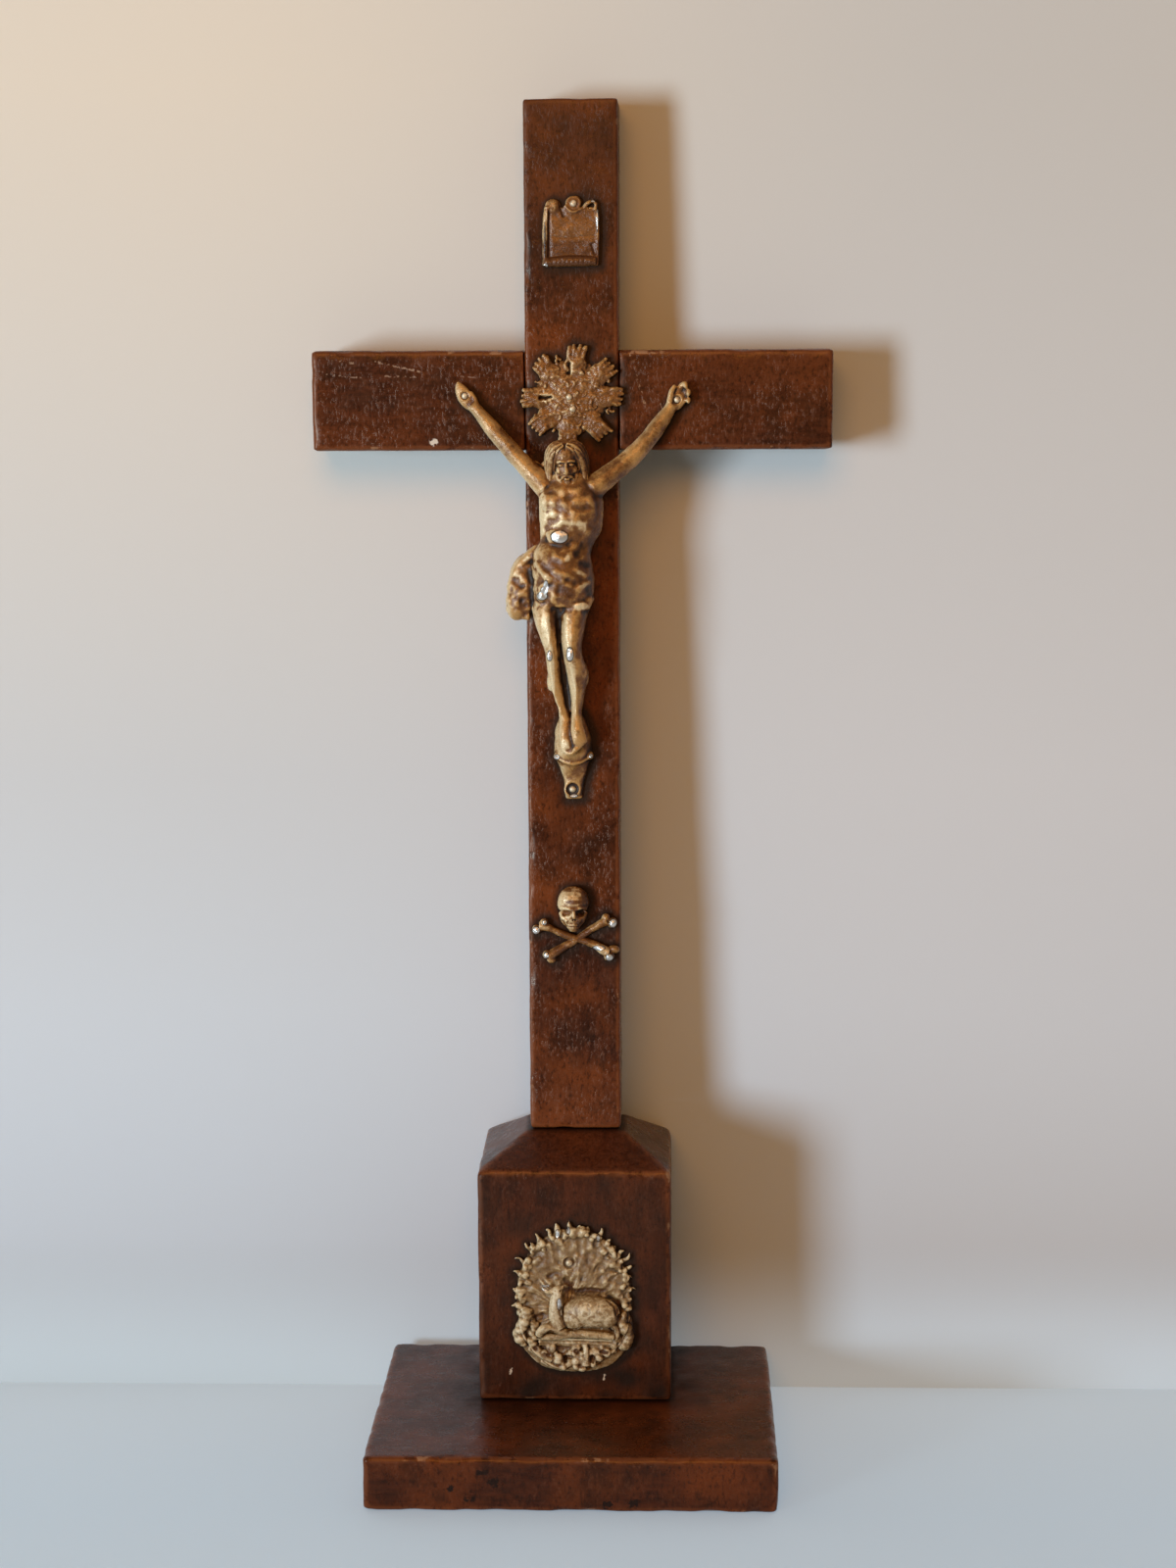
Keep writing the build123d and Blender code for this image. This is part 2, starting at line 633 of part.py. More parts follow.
# Medallion: an oval glory with points round its upper edge, clouds, and a lamb on a sealed book
with BuildPart() as lamb_medallion:
    half_width = medallion_width / 2
    half_height = medallion_height / 2
    spike_step = (medallion_spike_last - medallion_spike_first) / (medallion_spike_count - 1)
    spike_angles = [medallion_spike_first + spike_step * index for index in range(medallion_spike_count)]
    with BuildSketch(face_plane(block_front_y, medallion_offset, medallion_centre_z)):
        Ellipse(half_width, half_height)
        for angle in spike_angles:
            turn = radians(angle)
            with Locations(Location((half_width * cos(turn), half_height * sin(turn), 0), (0, 0, angle))):
                Polygon(
                    (-medallion_spike_width, medallion_spike_width / 2),
                    (-medallion_spike_width, -medallion_spike_width / 2),
                    (0, -medallion_spike_width / 2),
                    (medallion_spike_length, 0),
                    (0, medallion_spike_width / 2),
                    align=None,
                )
        for x, up, radius in cloud_shares:
            with Locations((x * medallion_width, up * medallion_height)):
                Circle(radius * medallion_width)
    extrude(amount=medallion_plate)
    with BuildSketch(face_plane(block_front_y, medallion_offset, medallion_centre_z, medallion_plate)):
        Ellipse(half_width, half_height)
    dome_forward = medallion_plate + medallion_dome
    with BuildSketch(face_plane(block_front_y, medallion_offset, medallion_centre_z, dome_forward)):
        Ellipse(half_width / 2, half_height / 2)
    loft()
    for shares in (lamb_body_shares, lamb_muzzle_shares, lamb_leg_shares):
        for x, forward, up, tall, deep in shares:
            with BuildSketch(Plane(origin=relief_point(x, forward, up), x_dir=(0, -1, 0), z_dir=(1, 0, 0))):
                Ellipse(deep * medallion_relief, tall * medallion_height)
        loft()
    loft([
        level_oval(*relief_point(x, forward, up), wide * medallion_width, deep * medallion_relief)
        for x, forward, up, wide, deep in lamb_neck_shares
    ])
    book_x, book_up, book_wide, book_tall, book_deep = book_shares
    with BuildSketch(face_plane(block_front_y, medallion_offset, medallion_centre_z)):
        with Locations((book_x * medallion_width, book_up * medallion_height)):
            Rectangle(book_wide * medallion_width, book_tall * medallion_height)
    extrude(amount=book_deep * medallion_relief)
    with BuildSketch(face_plane(block_front_y, medallion_offset, medallion_centre_z)):
        with Locations([(x * medallion_width, up * medallion_height) for x, up in seal_shares]):
            Circle(seal_radius_share * medallion_width)
    extrude(amount=seal_height_share * medallion_relief)
    split(bisect_by=face_plane(block_front_y, 0, medallion_centre_z))
    with Locations(pin_seats(block_front_y, [medallion_pin], medallion_pin_seat)):
        Hole(radius=pin_bore_radius, depth=medallion_pin_seat + overrun)
    with BuildSketch(face_plane(block_front_y, *medallion_pin, medallion_pin_seat)):
        Circle(pin_head_radius + pin_clearance)
    extrude(amount=overrun, mode=Mode.SUBTRACT)

# Pins, each with its head on the casting that it holds
with BuildPart() as titulus_nail:
    add(pin_at(titulus_pin[0], post_front_y - titulus_plate, titulus_pin[1]))
with BuildPart() as nimbus_nails:
    for x, z in nimbus_pins:
        add(pin_at(x, post_front_y - nimbus_pin_seat, z))
with BuildPart() as hand_nails:
    for x, z in hand_points:
        add(pin_at(x, post_front_y - hand_pin_seat, z))
with BuildPart() as foot_nail:
    add(pin_at(foot_pin[0], post_front_y - foot_pin_seat, foot_pin[1]))
with BuildPart() as medallion_nail:
    add(pin_at(medallion_pin[0], block_front_y - medallion_pin_seat, medallion_pin[1]))

base_plate.part.label = "base_plate"
pedestal_block.part.label = "pedestal_block"
upright_post.part.label = "upright_post"
crossbar.part.label = "crossbar"
base_screws.part.label = "base_screws"
titulus_plaque.part.label = "titulus_plaque"
titulus_nail.part.label = "titulus_nail"
nimbus.part.label = "nimbus"
nimbus_nails.part.label = "nimbus_nails"
corpus.part.label = "corpus"
hand_nails.part.label = "hand_nails"
foot_nail.part.label = "foot_nail"
skull_and_crossbones.part.label = "skull_and_crossbones"
lamb_medallion.part.label = "lamb_medallion"
medallion_nail.part.label = "medallion_nail"

os.makedirs("parts", exist_ok=True)
export_step(base_plate.part, "parts/base_plate.step")
export_step(pedestal_block.part, "parts/pedestal_block.step")
export_step(upright_post.part, "parts/upright_post.step")
export_step(crossbar.part, "parts/crossbar.step")
export_step(base_screws.part, "parts/base_screws.step")
export_step(titulus_plaque.part, "parts/titulus_plaque.step")
export_step(titulus_nail.part, "parts/titulus_nail.step")
export_step(nimbus.part, "parts/nimbus.step")
export_step(nimbus_nails.part, "parts/nimbus_nails.step")
export_step(corpus.part, "parts/corpus.step")
export_step(hand_nails.part, "parts/hand_nails.step")
export_step(foot_nail.part, "parts/foot_nail.step")
export_step(skull_and_crossbones.part, "parts/skull_and_crossbones.step")
export_step(lamb_medallion.part, "parts/lamb_medallion.step")
export_step(medallion_nail.part, "parts/medallion_nail.step")
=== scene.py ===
import math
import random
from functools import partial

import bmesh
import bpy
import numpy as np
from mathutils import Matrix, Vector, kdtree


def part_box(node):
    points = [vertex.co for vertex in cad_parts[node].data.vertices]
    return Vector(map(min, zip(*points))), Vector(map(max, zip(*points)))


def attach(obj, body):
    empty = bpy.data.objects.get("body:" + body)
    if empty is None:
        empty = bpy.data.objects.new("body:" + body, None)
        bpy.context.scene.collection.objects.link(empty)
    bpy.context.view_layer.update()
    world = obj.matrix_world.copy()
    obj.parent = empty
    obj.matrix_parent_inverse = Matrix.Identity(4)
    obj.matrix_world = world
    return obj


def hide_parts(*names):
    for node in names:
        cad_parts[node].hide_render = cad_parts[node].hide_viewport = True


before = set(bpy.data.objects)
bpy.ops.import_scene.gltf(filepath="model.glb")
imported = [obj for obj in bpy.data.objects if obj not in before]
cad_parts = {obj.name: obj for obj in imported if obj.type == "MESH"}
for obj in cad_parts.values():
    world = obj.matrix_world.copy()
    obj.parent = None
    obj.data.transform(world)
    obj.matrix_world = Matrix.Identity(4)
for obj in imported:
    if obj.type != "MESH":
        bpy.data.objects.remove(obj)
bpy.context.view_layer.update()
mm = 0.001

postLow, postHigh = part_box("upright_post")
barLow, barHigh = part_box("crossbar")
blockLow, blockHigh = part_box("pedestal_block")
baseLow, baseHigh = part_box("base_plate")
print("frame loaded")


# Mesh helpers

def newMesh(bm, name):
    mesh = bpy.data.meshes.new(name)
    bm.to_mesh(mesh)
    bm.free()
    return mesh


def fused(bm, name, voxel):  # joins overlapping shapes into one skin
    holder = bpy.data.objects.new(name + "Raw", newMesh(bm, name + "Raw"))
    bpy.context.scene.collection.objects.link(holder)
    remesh = holder.modifiers.new("skin", "REMESH")
    remesh.mode = "VOXEL"
    remesh.voxel_size = voxel
    solid = holder.evaluated_get(bpy.context.evaluated_depsgraph_get())
    skin = bmesh.new()
    skin.from_mesh(bpy.data.meshes.new_from_object(solid))
    rawMesh = holder.data
    bpy.data.objects.remove(holder)
    bpy.data.meshes.remove(rawMesh)
    return skin


def soften(bm, passes, factor=0.5):
    for _ in range(passes):
        bmesh.ops.smooth_vert(
            bm, verts=bm.verts, factor=factor, use_axis_x=True, use_axis_y=True, use_axis_z=True
        )


def readVectors(mesh, what):
    values = np.empty(len(mesh.vertices) * 3)
    if what == "normal":
        mesh.vertex_normals.foreach_get("vector", values)
    else:
        mesh.vertices.foreach_get("co", values)
    return values.reshape(-1, 3)


def readSurface(mesh):
    return readVectors(mesh, "place"), readVectors(mesh, "normal")


def writePlaces(mesh, places):
    mesh.vertices.foreach_set("co", places.astype(np.float32).ravel())
    mesh.update()


def writeMark(mesh, name, values):
    mark = mesh.attributes.get(name) or mesh.attributes.new(name, "FLOAT", "POINT")
    mark.data.foreach_set("value", np.clip(values, 0, 1).astype(np.float32))


def easeStep(values, low, high):
    share = np.clip((values - low) / (high - low), 0, 1)
    return share * share * (3 - 2 * share)


noiseTurn = np.array(((0.36, 0.48, -0.8), (-0.8, 0.6, 0.0), (0.48, 0.64, 0.6)))


def noiseAt(places, size, seed):  # soft noise from about -1 to 1, one value for each point
    spots = places @ noiseTurn / size + np.array((seed, 3.1 * seed, 7.7))
    cells = np.floor(spots).astype(np.int64)
    within = spots - cells
    fade = within ** 3 * (within * (within * 6 - 15) + 10)
    slopes = np.random.default_rng(3).normal(size=(512, 3))
    total = np.zeros(len(places))
    for corner in np.ndindex(2, 2, 2):
        mixed = ((cells + corner) * (73856093, 19349663, 83492791)).sum(axis=1)
        mixed = (mixed ^ (mixed >> 9)) % len(slopes)
        weight = np.where(corner, fade, 1 - fade).prod(axis=1)
        total += weight * (slopes[mixed] * (within - corner)).sum(axis=1)
    return np.clip(total * 1.2, -1, 1)


def riseOf(mesh, passes):  # how far each point stands out of its softened surroundings
    places = readVectors(mesh, "place")
    pairs = np.empty(len(mesh.edges) * 2, dtype=np.int32)
    mesh.edges.foreach_get("vertices", pairs)
    first, second = pairs[0::2], pairs[1::2]
    count = len(places)
    links = np.bincount(first, minlength=count) + np.bincount(second, minlength=count)
    soft = places.copy()
    for _ in range(passes):
        for axis in range(3):
            value = soft[:, axis].copy()
            total = np.bincount(first, value[second], count) + np.bincount(second, value[first], count)
            soft[:, axis] = total / np.maximum(links, 1)
    return ((places - soft) * readVectors(mesh, "normal")).sum(axis=1)


def nearest(places, others, reach):  # distance to the closest of the other points, up to reach
    grain = reach / 6
    others = np.unique(np.round(others / grain).astype(np.int64), axis=0) * grain
    tree = kdtree.KDTree(len(others))
    for index, point in enumerate(others.tolist()):
        tree.insert(point, index)
    tree.balance()
    cells = np.unique(np.floor(others / reach).astype(np.int64), axis=0)
    around = np.concatenate([cells + step for step in np.ndindex(3, 3, 3)]) - 1
    label = np.array((1 << 28, 1 << 14, 1))
    own = np.floor(places / reach).astype(np.int64)
    close = np.flatnonzero(np.isin(own @ label, np.unique(around @ label)))
    found = np.full(len(places), float(reach))
    for index, point in zip(close.tolist(), places[close].tolist()):
        found[index] = min(reach, tree.find(point)[2])
    return found


def addPiece(mesh, name, node, material):
    for polygon in mesh.polygons:
        polygon.use_smooth = True
    mesh.materials.clear()
    mesh.materials.append(material)
    piece = bpy.data.objects.new(name, mesh)
    bpy.context.scene.collection.objects.link(piece)
    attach(piece, "root")
    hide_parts(node)
    print(name, len(mesh.polygons), "faces")
    return piece


# Node helpers

def startMaterial(name):
    material = bpy.data.materials.new(name)
    material.use_nodes = True
    material.node_tree.nodes.clear()
    return material, material.node_tree


def addNode(tree, kind, **values):
    node = tree.nodes.new(kind)
    for key, value in values.items():
        setattr(node, key, value)
    return node


def feed(tree, socket, value):
    if isinstance(value, bpy.types.NodeSocket):
        tree.links.new(value, socket)
    else:
        socket.default_value = value


def surfaced(material, shader):  # joins a shader to the surface
    tree = material.node_tree
    output = addNode(tree, "ShaderNodeOutputMaterial")
    tree.links.new(shader.outputs[0], output.inputs["Surface"])
    return material


def bumped(tree, height, strength, depth):
    bump = addNode(tree, "ShaderNodeBump")
    bump.inputs["Strength"].default_value = strength
    bump.inputs["Distance"].default_value = depth
    feed(tree, bump.inputs["Height"], height)
    return bump.outputs["Normal"]


def calc(tree, operation, first, second=0.0, clamp=False):
    node = addNode(tree, "ShaderNodeMath", operation=operation, use_clamp=clamp)
    feed(tree, node.inputs[0], first)
    feed(tree, node.inputs[1], second)
    return node.outputs[0]


def blendColour(tree, share, first, second, mode="MIX"):
    node = addNode(tree, "ShaderNodeMix", data_type="RGBA", blend_type=mode)
    feed(tree, node.inputs["Factor"], share)
    feed(tree, node.inputs["A"], first)
    feed(tree, node.inputs["B"], second)
    return node.outputs["Result"]


def ease(tree, value, low, high, start=0.0, end=1.0):
    node = addNode(tree, "ShaderNodeMapRange", interpolation_type="SMOOTHSTEP")
    feed(tree, node.inputs["Value"], value)
    feed(tree, node.inputs["From Min"], low)
    feed(tree, node.inputs["From Max"], high)
    feed(tree, node.inputs["To Min"], start)
    feed(tree, node.inputs["To Max"], end)
    return node.outputs["Result"]


def grainNoise(tree, vector, scale, detail=3.0, roughness=0.55, twist=0.0):
    node = addNode(tree, "ShaderNodeTexNoise")
    feed(tree, node.inputs["Vector"], vector)
    node.inputs["Scale"].default_value = scale
    node.inputs["Detail"].default_value = detail
    node.inputs["Roughness"].default_value = roughness
    node.inputs["Distortion"].default_value = twist
    return node.outputs["Fac"]


def stretched(tree, vector, scale):
    node = addNode(tree, "ShaderNodeMapping", vector_type="POINT")
    feed(tree, node.inputs["Vector"], vector)
    node.inputs["Scale"].default_value = scale
    return node.outputs["Vector"]


def newGroup(name, inputs, outputs):
    group = bpy.data.node_groups.new(name, "ShaderNodeTree")
    for label, kind, value in inputs:
        socket = group.interface.new_socket(name=label, in_out="INPUT", socket_type=kind)
        if value is not None:
            socket.default_value = value
    for label, kind in outputs:
        group.interface.new_socket(name=label, in_out="OUTPUT", socket_type=kind)
    return group, addNode(group, "NodeGroupInput"), addNode(group, "NodeGroupOutput")


def readMark(tree, name):
    node = addNode(tree, "ShaderNodeAttribute", attribute_type="GEOMETRY", attribute_name=name)
    return node.outputs["Fac"]


def groupTools(tree):  # the nodes that a group uses most
    times, plus = partial(calc, tree, "MULTIPLY"), partial(calc, tree, "ADD")
    return times, plus, partial(ease, tree), partial(blendColour, tree), partial(grainNoise, tree)


# Stained and varnished wood

def makeWoodGroup():
    group, given, result = newGroup(
        "varnishedWood",
        [
            ("Place", "NodeSocketVector", None),
            ("Grain", "NodeSocketVector", None),
            ("Edge", "NodeSocketFloat", 0.0),
            ("Grime_and_shade", "NodeSocketFloat", 0.0),
            ("Warmth", "NodeSocketFloat", 0.4),
            ("Blisters", "NodeSocketFloat", 1.0),
        ],
        [("Color", "NodeSocketColor"), ("Roughness", "NodeSocketFloat"), ("Height", "NodeSocketFloat")],
    )
    times, plus, spread, blend, noise = groupTools(group)
    place, grain = given.outputs["Place"], given.outputs["Grain"]
    cloud = noise(place, 34.0, 3.0)
    stain = noise(place, 19.0, 4.0, 0.6)
    lines = noise(grain, 620.0, 5.0, 0.62)
    pores = noise(grain, 1900.0, 2.0)
    mottle = noise(place, 260.0, 4.0, 0.6)
    warmShare = times(spread(cloud, 0.36, 0.66), given.outputs["Warmth"])
    colour = blend(spread(lines, 0.3, 0.7), (0.033, 0.0075, 0.0032, 1), (0.078, 0.0195, 0.0076, 1))
    colour = blend(warmShare, colour, (0.20, 0.048, 0.0105, 1))
    colour = blend(spread(stain, 0.5, 0.68, 0.0, 0.72), colour, (0.018, 0.0055, 0.003, 1))
    colour = blend(spread(mottle, 0.55, 0.8, 0.0, 0.2), colour, (0.15, 0.055, 0.026, 1))
    colour = blend(spread(pores, 0.6, 0.74, 0.0, 0.35), colour, (0.02, 0.006, 0.003, 1))
    patches = noise(place, 75.0, 4.0)
    colour = blend(spread(patches, 0.52, 0.68, 0.0, 0.45), colour, (0.017, 0.005, 0.0027, 1))
    dashes = noise(stretched(group, place, (1.0, 1.0, 0.5)), 1250.0, 4.0, 0.6)
    crowded = times(spread(patches, 0.36, 0.6, 0.3, 1.0), given.outputs["Blisters"])
    bubbles = times(spread(dashes, 0.53, 0.68), crowded)
    colour = blend(spread(dashes, 0.48, 0.32, 0.0, 0.6), colour, (0.011, 0.0032, 0.0018, 1))
    # painted glint: the blister tops made lighter, on top of their bump
    colour = blend(times(bubbles, 0.5), colour, (0.16, 0.06, 0.03, 1))
    rubbed = times(given.outputs["Edge"], spread(mottle, 0.25, 0.55))
    chipped = times(rubbed, spread(patches, 0.5, 0.66))
    colour = blend(spread(rubbed, 0.2, 0.8, 0.0, 0.5), colour, (0.22, 0.066, 0.021, 1))
    colour = blend(spread(chipped, 0.6, 0.9, 0.0, 0.5), colour, (0.46, 0.26, 0.14, 1))
    # the grime mark darkens towards near-black: dirt and dark joints, and painted shade round the castings
    # and on the block's upright sides
    grime_and_shade = times(given.outputs["Grime_and_shade"], spread(cloud, 0.2, 0.55, 0.6, 1.0))
    colour = blend(times(grime_and_shade, 0.9), colour, (0.007, 0.0035, 0.0024, 1))
    pits = times(spread(mottle, 0.46, 0.3), given.outputs["Blisters"])
    height = plus(bubbles, times(pits, -0.5))
    height = plus(height, times(lines, 0.25))
    roughness = spread(mottle, 0.3, 0.75, 0.24, 0.36)
    roughness = plus(roughness, times(grime_and_shade, 0.25))
    feed(group, result.inputs["Color"], colour)
    feed(group, result.inputs["Roughness"], roughness)
    feed(group, result.inputs["Height"], height)
    return group


woodGroup = makeWoodGroup()


def makeScratchGroup():  # a mask along a line between two points
    group, given, result = newGroup(
        "scratch",
        [
            ("Place", "NodeSocketVector", None),
            ("Start", "NodeSocketVector", None),
            ("End", "NodeSocketVector", None),
            ("Width", "NodeSocketFloat", 0.0004),
            ("Breaks", "NodeSocketFloat", 0.5),
        ],
        [("Mask", "NodeSocketFloat")],
    )

    def vectorCalc(operation, first, second=None, scale=None):
        node = addNode(group, "ShaderNodeVectorMath", operation=operation)
        feed(group, node.inputs[0], first)
        if second is not None:
            feed(group, node.inputs[1], second)
        if scale is not None:
            feed(group, node.inputs["Scale"], scale)
        return node

    toPoint = vectorCalc("SUBTRACT", given.outputs["Place"], given.outputs["Start"]).outputs[0]
    span = vectorCalc("SUBTRACT", given.outputs["End"], given.outputs["Start"]).outputs[0]
    along = vectorCalc("DOT_PRODUCT", toPoint, span).outputs["Value"]
    length = vectorCalc("DOT_PRODUCT", span, span).outputs["Value"]
    share = calc(group, "DIVIDE", along, length, clamp=True)
    foot = vectorCalc("SCALE", span, scale=share).outputs[0]
    gap = vectorCalc("LENGTH", vectorCalc("SUBTRACT", toPoint, foot).outputs[0]).outputs["Value"]
    ragged = grainNoise(group, given.outputs["Place"], 900.0, 3.0)
    reach = calc(group, "MULTIPLY", given.outputs["Width"], ease(group, ragged, 0.3, 0.7, 0.2, 1.8))
    line = calc(group, "SUBTRACT", 1.0, calc(group, "DIVIDE", gap, reach), clamp=True)
    broken = ease(group, ragged, given.outputs["Breaks"], calc(group, "ADD", given.outputs["Breaks"], 0.12))
    feed(group, result.inputs["Mask"], calc(group, "MULTIPLY", ease(group, line, 0.0, 0.5), broken))
    return group


scratchGroup = makeScratchGroup()
woodFinish = {
    "bump": 0.35,
    "bumpDepth": 0.0002,
    "specular": 0.26,
    "shellac": (1.0, 0.82, 0.66, 1),  # tint of the shine
}


def makeWood(name, grainScale, warmth, blisters, scratches=()):
    material, tree = startMaterial(name)
    place = addNode(tree, "ShaderNodeTexCoord").outputs["Object"]
    wood = addNode(tree, "ShaderNodeGroup", node_tree=woodGroup)
    feed(tree, wood.inputs["Place"], place)
    feed(tree, wood.inputs["Grain"], stretched(tree, place, grainScale))
    feed(tree, wood.inputs["Edge"], readMark(tree, "edge"))
    feed(tree, wood.inputs["Grime_and_shade"], readMark(tree, "grime_and_shade"))
    wood.inputs["Warmth"].default_value = warmth
    wood.inputs["Blisters"].default_value = blisters
    colour = wood.outputs["Color"]
    for start, end, width, breaks, tint in scratches:
        scratch = addNode(tree, "ShaderNodeGroup", node_tree=scratchGroup)
        feed(tree, scratch.inputs["Place"], place)
        scratch.inputs["Start"].default_value = start
        scratch.inputs["End"].default_value = end
        scratch.inputs["Width"].default_value = width
        scratch.inputs["Breaks"].default_value = breaks
        colour = blendColour(tree, scratch.outputs["Mask"], colour, (*tint, 1))
    relief = bumped(tree, wood.outputs["Height"], woodFinish["bump"], woodFinish["bumpDepth"])
    shader = addNode(tree, "ShaderNodeBsdfPrincipled")
    feed(tree, shader.inputs["Base Color"], colour)
    feed(tree, shader.inputs["Roughness"], wood.outputs["Roughness"])
    feed(tree, shader.inputs["Normal"], relief)
    shader.inputs["Specular IOR Level"].default_value = woodFinish["specular"]
    shader.inputs["Specular Tint"].default_value = woodFinish["shellac"]
    return surfaced(material, shader)


# Metals: bronzed tin, pale tin, and the plain metal of pins and screws

def makeTinGroup():
    group, given, result = newGroup(
        "castTin",
        [
            ("Place", "NodeSocketVector", None),
            ("Ridge", "NodeSocketFloat", 0.0),
            ("Hollow", "NodeSocketFloat", 0.0),
            ("Bare", "NodeSocketFloat", 0.0),
            ("Brown_and_shade", "NodeSocketFloat", 0.0),
            ("Pale", "NodeSocketFloat", 0.0),
            ("Deep", "NodeSocketColor", (0.03, 0.012, 0.004, 1)),
            ("Body", "NodeSocketColor", (0.25, 0.11, 0.035, 1)),
            ("High", "NodeSocketColor", (0.6, 0.4, 0.17, 1)),
            ("Cream", "NodeSocketColor", (0.66, 0.52, 0.3, 1)),
            ("Metal", "NodeSocketColor", (0.75, 0.74, 0.72, 1)),
            ("Shine", "NodeSocketFloat", 0.6),
            ("Mottle", "NodeSocketFloat", 0.6),
        ],
        [
            ("Color", "NodeSocketColor"),
            ("Metallic", "NodeSocketFloat"),
            ("Roughness", "NodeSocketFloat"),
            ("Height", "NodeSocketFloat"),
        ],
    )
    times, plus, spread, blend, noise = groupTools(group)
    place, hollow = given.outputs["Place"], given.outputs["Hollow"]
    swirl = noise(place, 430.0, 6.0, 0.68, 1.4)
    speck = noise(place, 1000.0, 3.0, 0.6)

    def tilt(value, label, weight):
        return plus(value, times(given.outputs[label], weight))

    fleck = times(calc(group, "SUBTRACT", speck, 0.5), 0.2)
    blotch = plus(calc(group, "SUBTRACT", swirl, 0.5), fleck)
    tone = plus(0.5, times(blotch, given.outputs["Mottle"]))
    # Ridge adds the wear of raised parts and a painted highlight on left-facing sides; Hollow adds patina in
    # recesses and painted shade at the wood and on right-facing sides; the brown mark adds patina and painted
    # shade on shaded sides; Pale adds cream wear and painted highlight
    for label, weight in (("Ridge", 0.42), ("Pale", 0.14), ("Brown_and_shade", -0.12), ("Hollow", -0.45)):
        tone = tilt(tone, label, weight)
    dim = blend(0.4, given.outputs["Deep"], given.outputs["Body"])
    colour = blend(spread(tone, 0.5, 0.8), given.outputs["Body"], given.outputs["High"])
    cream = times(spread(tone, 0.54, 0.86), spread(given.outputs["Pale"], 0.0, 0.6, 0.06, 1.0))
    colour = blend(cream, colour, given.outputs["Cream"])
    colour = blend(spread(tone, 0.5, 0.26), colour, dim)
    colour = blend(spread(tone, 0.3, 0.06), colour, given.outputs["Deep"])
    # brown patina, and painted shade where the brown spots lie on the shaded sides
    brown = times(given.outputs["Brown_and_shade"], spread(tone, 0.85, 0.45, 0.35, 0.78))
    colour = blend(brown, colour, (0.098, 0.031, 0.0082, 1))
    # towards Deep: patina in recesses, and painted shade at the wood and on right-facing sides
    colour = blend(spread(hollow, 0.4, 0.95, 0.0, 0.9), colour, given.outputs["Deep"])
    bare = given.outputs["Bare"]
    rubbed = plus(bare, times(calc(group, "SUBTRACT", swirl, 0.5), 0.5))
    worn = times(spread(rubbed, 0.42, 0.54), spread(bare, 0.05, 0.3))
    rim = times(spread(rubbed, 0.04, 0.2), spread(bare, 0.03, 0.15, 0.0, 0.85))
    colour = blend(rim, colour, given.outputs["Deep"])  # lacquer piled up round a bare spot
    colour = blend(worn, colour, given.outputs["Metal"])
    metallic = calc(group, "MAXIMUM", times(worn, 0.6), given.outputs["Shine"])
    metallic = times(metallic, spread(hollow, 0.2, 0.9, 1.0, 0.35))
    roughness = spread(speck, 0.3, 0.75, 0.2, 0.36)
    roughness = plus(roughness, times(hollow, 0.25))
    roughness = calc(group, "SUBTRACT", roughness, times(worn, 0.08))
    feed(group, result.inputs["Color"], colour)
    feed(group, result.inputs["Metallic"], metallic)
    feed(group, result.inputs["Roughness"], roughness)
    grain = plus(swirl, times(speck, 0.25))
    feed(group, result.inputs["Height"], times(grain, given.outputs["Mottle"]))
    return group


tinGroup = makeTinGroup()
tinFinishes = {
    "bronzedTin": {
        "Deep": (0.018, 0.0068, 0.0026, 1),
        "Body": (0.19, 0.074, 0.018, 1),
        "High": (0.48, 0.25, 0.07, 1),
        "Cream": (0.78, 0.62, 0.37, 1),
        "Metal": (0.68, 0.67, 0.64, 1),
        "Shine": 0.15,
        "Mottle": 0.55,
    },
    "paleTin": {
        "Deep": (0.032, 0.014, 0.0055, 1),
        "Body": (0.27, 0.163, 0.068, 1),
        "High": (0.66, 0.51, 0.29, 1),
        "Cream": (0.76, 0.64, 0.43, 1),
        "Metal": (0.74, 0.73, 0.7, 1),
        "Shine": 0.06,
        "Mottle": 0.75,
    },
}
tinRelief = {"bump": 0.8, "bumpDepth": 0.0005, "specular": 0.5}


def makeTin(name):
    material, tree = startMaterial(name)
    tin = addNode(tree, "ShaderNodeGroup", node_tree=tinGroup)
    feed(tree, tin.inputs["Place"], addNode(tree, "ShaderNodeTexCoord").outputs["Object"])
    for label in ("Ridge", "Hollow", "Bare", "Brown_and_shade", "Pale"):
        feed(tree, tin.inputs[label], readMark(tree, label.lower()))
    for label, value in tinFinishes[name].items():
        tin.inputs[label].default_value = value
    relief = bumped(tree, tin.outputs["Height"], tinRelief["bump"], tinRelief["bumpDepth"])
    shader = addNode(tree, "ShaderNodeBsdfPrincipled")
    feed(tree, shader.inputs["Base Color"], tin.outputs["Color"])
    feed(tree, shader.inputs["Metallic"], tin.outputs["Metallic"])
    feed(tree, shader.inputs["Roughness"], tin.outputs["Roughness"])
    feed(tree, shader.inputs["Normal"], relief)
    shader.inputs["Specular IOR Level"].default_value = tinRelief["specular"]
    return surfaced(material, shader)


def makeMetal(name, dark, light, roughness):
    material, tree = startMaterial(name)
    place = addNode(tree, "ShaderNodeTexCoord").outputs["Object"]
    tarnish = grainNoise(tree, place, 900.0, 3.0)
    shader = addNode(tree, "ShaderNodeBsdfPrincipled")
    tone = blendColour(tree, ease(tree, tarnish, 0.35, 0.65), (*dark, 1), (*light, 1))
    feed(tree, shader.inputs["Base Color"], tone)
    feed(tree, shader.inputs["Roughness"], ease(tree, tarnish, 0.3, 0.7, roughness, roughness + 0.2))
    shader.inputs["Metallic"].default_value = 0.4
    return surfaced(material, shader)


bronzedTin = makeTin("bronzedTin")
paleTin = makeTin("paleTin")
pinMetal = makeMetal("pinMetal", (0.45, 0.32, 0.18), (0.8, 0.68, 0.48), 0.36)
screwSteel = makeMetal("screwSteel", (0.16, 0.15, 0.14), (0.34, 0.33, 0.32), 0.38)
print("materials ready")


# Wooden pieces

